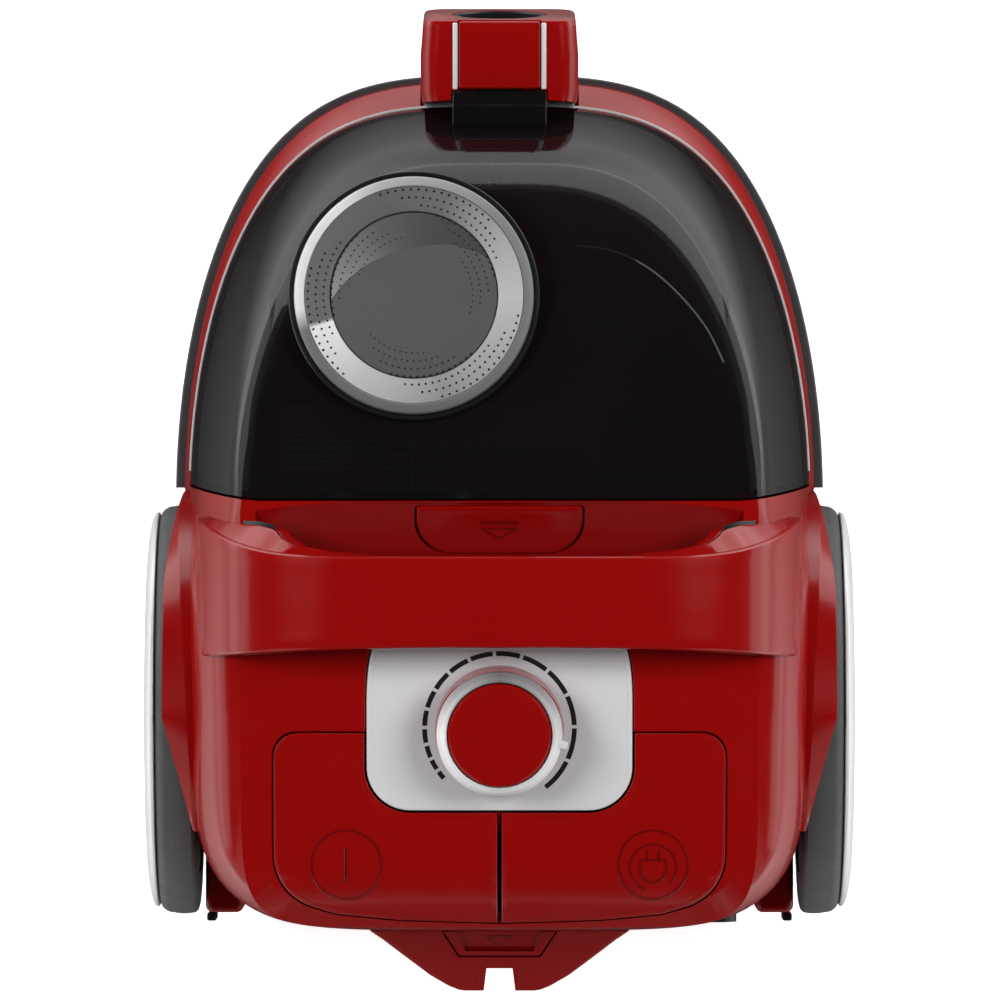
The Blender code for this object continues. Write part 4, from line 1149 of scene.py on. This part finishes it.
def build_cap():
    """A spun disc, a spun ring round it and a raised rim, on a black gasket; the ring and rim carry painted
    reflections, lighter and darker sectors swept round them.
    """
    place = cap_place()
    body = "dust_container"
    rim = [(43.0, 0.3), (46.8, 0.3), (47, 0.7), (47, 1.9), (46.8, 2.6)]
    rim += [(46.3, 3.2), (44.8, 3.7), (43.4, 3.75), (43.0, 3.5)]
    rim = turned(rim, segments=192)
    # Painted reflection: the rim's grey sweeps from bright to dark round it.
    piece("cap_rim_painted_reflection", rim, "silver_paint", body, ["cap_ring"], place, "cap_rim_painted_reflection")
    ring = [(33, 0.3), (42.8, 0.3), (42.8, 3.3), (42.4, 3.45), (33.6, 3.1), (33.2, 2.95), (33, 2.6)]
    ring = turned(ring, segments=192)
    # Painted reflection: the band's grey sweeps from bright to dark round it.
    piece("cap_band_painted_reflection", ring, "silver_paint", body, place=place, finish="cap_band_painted_reflection")
    disc = [(0, 0.3), (32.4, 0.3), (32.6, 0.6), (32.6, 2.3), (32.3, 2.6), (31.8, 2.75), (20, 2.85), (0, 2.9)]
    disc = turned(disc, segments=192, closed=False)
    piece("cap_plate", disc, "silver_paint", body, ["cap_disc"], place, "cap_disc")
    # Painted highlight: a lighter crescent laid over the disc.
    piece("cap_painted_sheen", cap_painted_sheen(), "silver_paint", body, place=place, finish="cap_painted_sheen")
    piece("cap_dots", cap_dots(), "black_plastic", body, place=place, finish="ink")
    gasket = [(47.3, 0.2), (48.9, 0.2), (49.2, 0.6), (49.2, 1.1)]
    gasket += [(48.8, 1.7), (48.2, 1.9), (47.5, 1.7), (47.3, 1.2)]
    piece("cap_gasket", turned(gasket, segments=192), "black_plastic", body, place=place)


def cap_painted_sheen():
    """A painted highlight: a lighter crescent of the disc, raised a hair, from its left edge over the top.
    """
    outer = arc((0, 0), 32.2, 182, 28, 60)
    inner = [(-32.2, -1.6), (-26.0, 6.0), (-16.0, 13.2), (0.0, 18.6), (14.0, 19.8), (28.2, 15.4)]
    inner = smooth_line(inner, 10)
    steps = 48
    bm = bmesh.new()
    rows = []
    for i in range(steps + 1):
        share = i / steps
        a = Vector(outer[round(share * (len(outer) - 1))])
        b = Vector(inner[round(share * (len(inner) - 1))])
        row = []
        for k in range(9):
            at = a + (b - a) * k / 8
            row.append(bm.verts.new((at.x, at.y, cap_face(at.length) + 0.03)))
        rows.append(row)
    for first, second in zip(rows, rows[1:]):
        for k in range(8):
            bm.faces.new((first[k], first[k + 1], second[k + 1], second[k]))
    bmesh.ops.solidify(bm, geom=bm.faces[:], thickness=0.12)
    return bm


def cap_dots():
    """Three sweeps of small dots: each row lies further in and further round, with smaller dots."""
    whole = bmesh.new()
    rows = 8
    for sweep in range(3):
        for row in range(rows):
            radius = 44.7 - 3.1 * row
            start = radians(120 - 11.5 * row + 120 * sweep)
            end = radians(56 - 10.5 * row + 120 * sweep)
            spacing = 3.1 - 0.12 * row
            count = round(abs(end - start) * radius / spacing)
            size = 0.6 - 0.035 * row
            for i in range(count + 1):
                angle = start + (end - start) * i / count
                spot = Matrix.Translation((radius * cos(angle), radius * sin(angle), cap_face(radius)))
                dot = dict(segments=12, radius1=size, radius2=size * 0.8, depth=0.2)
                bmesh.ops.create_cone(whole, cap_ends=True, matrix=spot, **dot)
    return whole


def cap_face(radius):
    """Height of the cap's face at a distance from its middle."""
    for (inner, low), (outer, high) in zip(CAP_FACE, CAP_FACE[1:]):
        if radius <= outer:
            return low + (high - low) * (radius - inner) / (outer - inner)
    return CAP_FACE[-1][1]


# ---------------------------------------------------------------- hose socket
def socket_place():
    return place_at((0, SOCKET_Y, SOCKET_Z), Matrix.Rotation(SOCKET_TILT, 3, "X"))


def build_socket():
    """A framed housing on the front rim with a round bore, tilted up a little."""
    half, high = 31.4, 27.0
    outline = []
    for sx, sz, start in ((1, -1, 270), (1, 1, 0), (-1, 1, 90), (-1, -1, 180)):
        outline += arc((sx * (half - 9), sz * (high - 9)), 9, start, start + 90, 12)
    rings = []
    profile = [(-24, -2.0), (-10, 0.0), (4, 0.0), (10, -0.5)]
    profile += [(14.5, -0.8), (16.8, -1.1), (17.8, -1.6), (18.2, -2.4)]
    for y, grow in profile:
        scale = (half + grow) / half
        rings.append([(x * scale, y, z * scale) for x, z in outline])
    place = socket_place()
    seat = prism(front_outline(-0.6), 50, 300)
    housing = placed(loft(rings), place)
    cutters = [rod(SOCKET_BORE, 80, (0, 0, 0), "Y", 96), box((-16.6, -12, 24.4), (16.6, 20, 40))]
    cutters.append(box((-19.2, -40, 16.4), (19.2, -9.4, 40)))
    housing = cut(housing, *[placed(c, place) for c in cutters], seat)
    piece("socket_housing", housing, "red_plastic", nodes=["hose_socket"], sharp=24)
    cover = soft_box((-16.2, -8.8, 24.8), (16.2, 17.8, 28.0), 0.9, 4)
    piece("socket_lid", cover, "red_plastic", nodes=["socket_cover"], place=place)
    for name, side in (("left", -1), ("right", 1)):
        rail = soft_box((side * 17.6 - 1.0, -9.2, 23.0), (side * 17.6 + 1.0, 17.2, 27.6), 0.6, 3)
        piece(f"{name}_socket_rail", rail, "silver_paint", place=place)
    window = cut(soft_box((-18.8, 148, 141), (18.8, 162.6, 150), 1.2, 4), form(inset=-0.4))
    piece("snout_window", window, "smoky_plastic", "dust_container", ["container_snout"])
    lining = [(18.8, -14), (18.8, 17.6), (18.3, 18.0), (17.0, 18.0), (16.6, 17.4), (16.6, -14)]
    piece("socket_lining", turned(lining, "Y"), "black_plastic", place=place)


# ---------------------------------------------------------------- wheels
def build_wheels():
    """Each wheel: a smooth tyre with round shoulders, a rim hidden inside and a wide bulging cover."""
    wall = WHEEL_OUT - 0.1
    tread = [(RIM_R + 0.4, WHEEL_IN), (WHEEL_R - 3.4, WHEEL_IN)]
    tread += [(WHEEL_R - 1.6, WHEEL_IN + 0.5), (WHEEL_R - 0.5, WHEEL_IN + 1.6)]
    for i in range(1, 10):
        t = i / 9
        tread.append((WHEEL_R - 0.5 * (2 * t - 1) ** 2, WHEEL_IN + 1.6 + 9.0 * t))
    for i in range(1, 12):
        angle = pi / 2 * i / 11
        out = WHEEL_IN + 10.6 + (wall - WHEEL_IN - 10.6) * sin(angle)
        tread.append((WHEEL_R - 5.5 + 5.0 * cos(angle), out))
    tread += [(72, wall), (RIM_R + 0.4, wall - 0.3)]
    low = WHEEL_OUT + 0.2
    cap = [(0, WHEEL_OUT - 2.5), (RIM_R - 0.6, WHEEL_OUT - 2.5), (RIM_R - 0.2, WHEEL_OUT - 2.0)]
    cap += [(RIM_R - 0.2, low), (HUBCAP_R - 0.5, low), (HUBCAP_R, low + 0.4), (HUBCAP_R - 0.1, low + 1.0)]
    for i in range(1, 15):
        angle = pi / 2 * (i / 14)
        out = low + 1.0 + (HUBCAP_OUT - low - 1.0) * sin(angle)
        cap.append((HUBCAP_R - 0.1 - 21 * (1 - cos(angle)), out))
    for i in range(1, 9):
        t = i / 8
        cap.append((HUBCAP_R - 21.1 - 46 * t, HUBCAP_OUT - 2.2 * sin(pi * t) ** 2 - 0.3 * t))
    cap += [(6, HUBCAP_OUT - 0.2), (0, HUBCAP_OUT - 0.15)]
    rim = [(RIM_R, WHEEL_IN + 0.5), (RIM_R, WHEEL_OUT - 3), (RIM_R - 5.6, WHEEL_OUT - 3)]
    rim += [(RIM_R - 5.6, WHEEL_IN + 6), (AXLE_R + 5, WHEEL_IN + 6), (AXLE_R + 5, WHEEL_OUT - 5)]
    rim += [(AXLE_R + 0.4, WHEEL_OUT - 5), (AXLE_R + 0.4, WHEEL_IN + 0.5)]
    for name, side in (("left", -1), ("right", 1)):
        centre = place_at((0, WHEEL_Y, WHEEL_R))
        for part, profile, slot, closed in (
            ("tyre", tread, "tyre_rubber", True),
            ("hubcap", cap, "silver_paint", False),
            ("wheel_rim", rim, "grey_plastic", True),
        ):
            shape = turned([(r, side * h) for r, h in profile], "X", 192, closed)
            piece(f"{name}_{part}_skin", shape, slot, f"{name}_wheel", [f"{name}_{part}"], centre)


# ---------------------------------------------------------------- rear
# The tail's plan, as (distance behind its root, half width)
TAIL_PLAN = [(0.0, 53.5), (5.0, 46.5), (11.5, 38.5), (20.0, 27.8), (24.5, 20.5), (26.6, 15.5)]


def tail_half(y):
    """Half width of the tail in plan at y, tapering from the body to the tip."""
    drop = max(0.0, TAIL_ROOT - y)
    for (start, wide), (end, slim) in zip(TAIL_PLAN, TAIL_PLAN[1:]):
        if drop <= end:
            return wide + (slim - wide) * (drop - start) / (end - start)
    return TAIL_PLAN[-1][1]


def tail_top(x, y):
    return 128 - 1.15 * (TAIL_ROOT - y)


def latch_floor(x, y):
    return tail_top(x, y) - 2.4


def build_exhaust():
    """The tail: a cover with a parking slot, and a recessed latch tab in a pocket on its slope."""
    front = -172.2
    root = front + 4
    ys = [root - (TAIL_REACH - 0.4 + root) * i / 40 for i in range(41)]
    top = [(-tail_half(y), y) for y in ys]
    top += [(x, -TAIL_REACH) for x in (-14.3, -9, -3, 3, 9, 14.3)]
    top += [(tail_half(y), y) for y in reversed(ys)]
    top += [(x, root) for x in (45, 30, 15, 0, -15, -30, -45)]
    loop = anticlockwise(top)
    rings = []
    for shift, level in ((9, 62), (5.5, 65), (2.5, 69), (0.8, 73), (0, 78), (0, 82)):
        rings.append([(x, max(y, shift - TAIL_REACH), level) for x, y in loop])
    edge = 1.3
    for k in range(5):
        angle = pi / 2 * k / 4
        ring = inset_loop(loop, edge * (1 - cos(angle)))
        rings.append([(x, y, tail_top(x, y) - edge * (1 - sin(angle))) for x, y in ring])
    slot = prism([(-5.2, -188), (-6.6, -200), (6.6, -200), (5.2, -188)], 40, 150)
    pocket = prism([(-31.4, -159), (-16.5, -183.3), (16.5, -183.3), (31.4, -159)], 106, 151)
    inner = prism([(-36, -160), (-26, -184), (26, -184), (36, -160)], 84, 103)
    behind_wall = box((-90, front, 40), (90, -150, 170))
    cover = cut(cut(loft(rings), behind_wall), pocket, inner, slot)
    piece("exhaust_shell", cover, "red_plastic", "exhaust_cover", ["exhaust_cover"], sharp=24)
    latch = [(-22.6, -172.4), (-16, -182.8), (16, -182.8), (22.6, -172.4)]
    flat = pad(spaced(latch, 2.0), lambda x, y: tail_top(x, y) - 0.5, 0.5, 3.6, 2.0)
    well = [(-18.5, -170), (-13.5, -180.8), (13.5, -180.8), (18.5, -170)]
    recess = loft([[(x, y, tail_top(x, y) + lift) for x, y in well] for lift in (-2.4, 5)])
    piece("exhaust_latch_tab", cut(flat, recess), "red_plastic", "exhaust_latch", ["exhaust_latch"])
    corners = [(-5.5, -174.6), (0, -178.4), (5.5, -174.6)]
    sign = ribbon(spaced(corners, 1.0), 0.7, latch_floor, 0.25, closed=True)
    # The mark's darker red is painted shade on the raised rib.
    piece("exhaust_latch_mark", sign, "red_plastic", "exhaust_latch", finish="mark_red")
    for name, side in (("left", -1), ("right", 1)):
        rail = ribbon([(side * (7.0 + 0.12 * i), -188.2 - 0.85 * i) for i in range(11)], 1.4, tail_top, 0.5)
        piece(f"{name}_slot_rail", rail, "red_plastic", "exhaust_cover")
    pleats = []
    for i in range(40):
        pleats += [(-50 + 2.5 * i, -157.6), (-48.75 + 2.5 * i, -160.2)]
    pleats += [(50, -157.6), (50, -165.2), (-50, -165.2)]
    piece("exhaust_filter_pleats", prism(pleats, 80, 129), "filter_foam", nodes=["exhaust_filter"])


def build_feet():
    for name, side in (("left", -1), ("right", 1)):
        foot = soft_box((side * 117.1 - 1.9, -171.2, 34), (side * 117.1 + 1.9, -168.0, 56), 0.8)
        piece(f"{name}_foot_pad", foot, "black_plastic", nodes=[f"{name}_rear_foot"])


def dress_inner_nodes():
    """Gives every CAD node that still shows the matching finish."""
    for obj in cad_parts.values():
        for i, old in enumerate(obj.data.materials):
            name = old.name.split(".")[0] if old else ""
            if name in FINISH:
                obj.data.materials[i] = FINISH[name]


# ---------------------------------------------------------------- studio
def floor_cards(tree):
    """White cards on the floor, only for reflections: in front, along both sides, off the rear corners."""
    place = tree.nodes.new("ShaderNodeTexCoord")
    split = tree.nodes.new("ShaderNodeSeparateXYZ")
    tree.links.new(place.outputs["Object"], split.inputs["Vector"])
    side = add_node(tree, "ShaderNodeMath")
    side.operation = "ABSOLUTE"
    tree.links.new(split.outputs["X"], side.inputs[0])
    folded = tree.nodes.new("ShaderNodeCombineXYZ")
    tree.links.new(side.outputs["Value"], folded.inputs["X"])
    tree.links.new(split.outputs["Y"], folded.inputs["Y"])
    away = tree.nodes.new("ShaderNodeVectorMath")
    away.operation = "DISTANCE"
    away.inputs[1].default_value = (0.55, -0.45, 0)
    tree.links.new(folded.outputs["Vector"], away.inputs[0])
    total = add_node(tree, "ShaderNodeMath")
    total.operation = "ADD"
    tree.links.new(spread(tree, away.outputs["Value"], 1.5, 0.0, 0.05, 0.5), total.inputs[0])
    tree.links.new(spread(tree, split.outputs["Y"], 0.0, 1.8, 0.2, 0.5), total.inputs[1])
    more = add_node(tree, "ShaderNodeMath")
    more.operation = "ADD"
    tree.links.new(total.outputs["Value"], more.inputs[0])
    tree.links.new(spread(tree, side.outputs["Value"], 0.0, 0.75, 0.16, 0.5), more.inputs[1])
    return more.outputs["Value"]


def build_floor():
    bm = bmesh.new()
    bmesh.ops.create_grid(bm, x_segments=8, y_segments=8, size=6.0)
    mesh = bpy.data.meshes.new("floor")
    bm.to_mesh(mesh)
    bm.free()
    made, tree, shader = new_material("floor_white")
    tint(tree, shader, (0.86, 0.86, 0.86), noise(tree, 3, 2.0), 0.01)
    shader.inputs["Roughness"].default_value = 0.9
    shader.inputs["Emission Color"].default_value = (1, 1, 1, 1)
    ray = tree.nodes.new("ShaderNodeLightPath")
    pale = shader.inputs["Base Color"].links[0].from_socket
    mirrored_tone = tree.nodes.new("ShaderNodeMix")
    mirrored_tone.data_type = "RGBA"
    mirrored_tone.inputs["B"].default_value = (0.05, 0.05, 0.05, 1)
    tree.links.new(ray.outputs["Is Glossy Ray"], mirrored_tone.inputs["Factor"])
    tree.links.new(pale, mirrored_tone.inputs["A"])
    tree.links.new(mirrored_tone.outputs["Result"], shader.inputs["Base Color"])
    glow = tree.nodes.new("ShaderNodeMix")
    glow.inputs["A"].default_value = 0.75
    tree.links.new(ray.outputs["Is Glossy Ray"], glow.inputs["Factor"])
    tree.links.new(floor_cards(tree), glow.inputs["B"])
    tree.links.new(glow.outputs["Result"], shader.inputs["Emission Strength"])
    mesh.materials.append(made)
    obj = bpy.data.objects.new("floor", mesh)
    bpy.context.scene.collection.objects.link(obj)


def add_light(name, place, target, size, power, glossy=True):
    light = bpy.data.lights.new(name, "AREA")
    light.shape = "RECTANGLE"
    light.size, light.size_y = size
    light.energy = power
    obj = bpy.data.objects.new(name, light)
    obj.location = place
    aim = Vector(target) - Vector(place)
    obj.rotation_mode = "QUATERNION"
    obj.rotation_quaternion = aim.to_track_quat("-Z", "Y")
    obj.visible_glossy = glossy
    obj.visible_camera = False
    bpy.context.scene.collection.objects.link(obj)


def build_light():
    world = bpy.data.worlds.new("studio")
    world.use_nodes = True
    tree = world.node_tree
    sky = tree.nodes["Background"]
    place = tree.nodes.new("ShaderNodeTexCoord")
    split = tree.nodes.new("ShaderNodeSeparateXYZ")
    ramp = tree.nodes.new("ShaderNodeValToRGB")
    tree.links.new(place.outputs["Generated"], split.inputs["Vector"])
    tree.links.new(split.outputs["Z"], ramp.inputs["Fac"])
    tree.links.new(ramp.outputs["Color"], sky.inputs["Color"])
    stops = ramp.color_ramp.elements
    levels = [(0.0, 0.5), (0.15, 0.3), (0.35, 0.1), (0.6, 0.04), (0.9, 0.015)]
    for i, (height, level) in enumerate(levels):
        stop = stops[i] if i < len(stops) else stops.new(height)
        stop.position = height
        stop.color = (level, level, level, 1)
    sky.inputs["Strength"].default_value = 0.5
    backdrop = tree.nodes.new("ShaderNodeBackground")
    backdrop.inputs["Color"].default_value = (0.93, 0.93, 0.93, 1)
    choose = tree.nodes.new("ShaderNodeMixShader")
    ray = tree.nodes.new("ShaderNodeLightPath")
    tree.links.new(ray.outputs["Is Camera Ray"], choose.inputs["Fac"])
    tree.links.new(sky.outputs["Background"], choose.inputs[1])
    tree.links.new(backdrop.outputs["Background"], choose.inputs[2])
    tree.links.new(choose.outputs["Shader"], tree.nodes["World Output"].inputs["Surface"])
    bpy.context.scene.world = world
    middle = (0, 0, 0.12)
    add_light("left_rear_softbox", (-1.0, -1.05, 0.75), middle, (1.2, 1.2), 2.6)
    add_light("right_rear_softbox", (1.0, -1.05, 0.75), middle, (1.2, 1.2), 2.2)
    add_light("left_low_card", (-0.95, 0.12, 0.2), middle, (1.1, 0.36), 1.2)
    add_light("right_low_card", (0.95, 0.12, 0.2), middle, (1.1, 0.36), 1.4)
    add_light("front_softbox", (0.0, 2.0, 0.42), middle, (5.0, 0.7), 22)
    add_light("left_fill", (-2.7, 0.8, 3.5), middle, (1.8, 1.8), 120, glossy=False)
    add_light("right_fill", (2.7, 0.8, 3.5), middle, (1.8, 1.8), 120, glossy=False)


def build_camera():
    camera = bpy.data.cameras.new("camera")
    camera.sensor_width = 36
    camera.lens = 349
    camera.clip_end = 50
    obj = bpy.data.objects.new("camera", camera)
    obj.location = (0.0002, 0, 4.0)
    bpy.context.scene.collection.objects.link(obj)
    bpy.context.scene.camera = obj


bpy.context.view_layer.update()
FINISH = make_materials()
build_upper_casing()
build_lower_casing()
build_bumper_strip()
build_handle()
build_control_panel()
build_pedals()
build_knob()
build_release_button()
build_container()
build_socket()
build_wheels()
build_exhaust()
build_feet()
dress_inner_nodes()
build_floor()
build_light()
build_camera()
bpy.context.scene.view_settings.view_transform = "Standard"
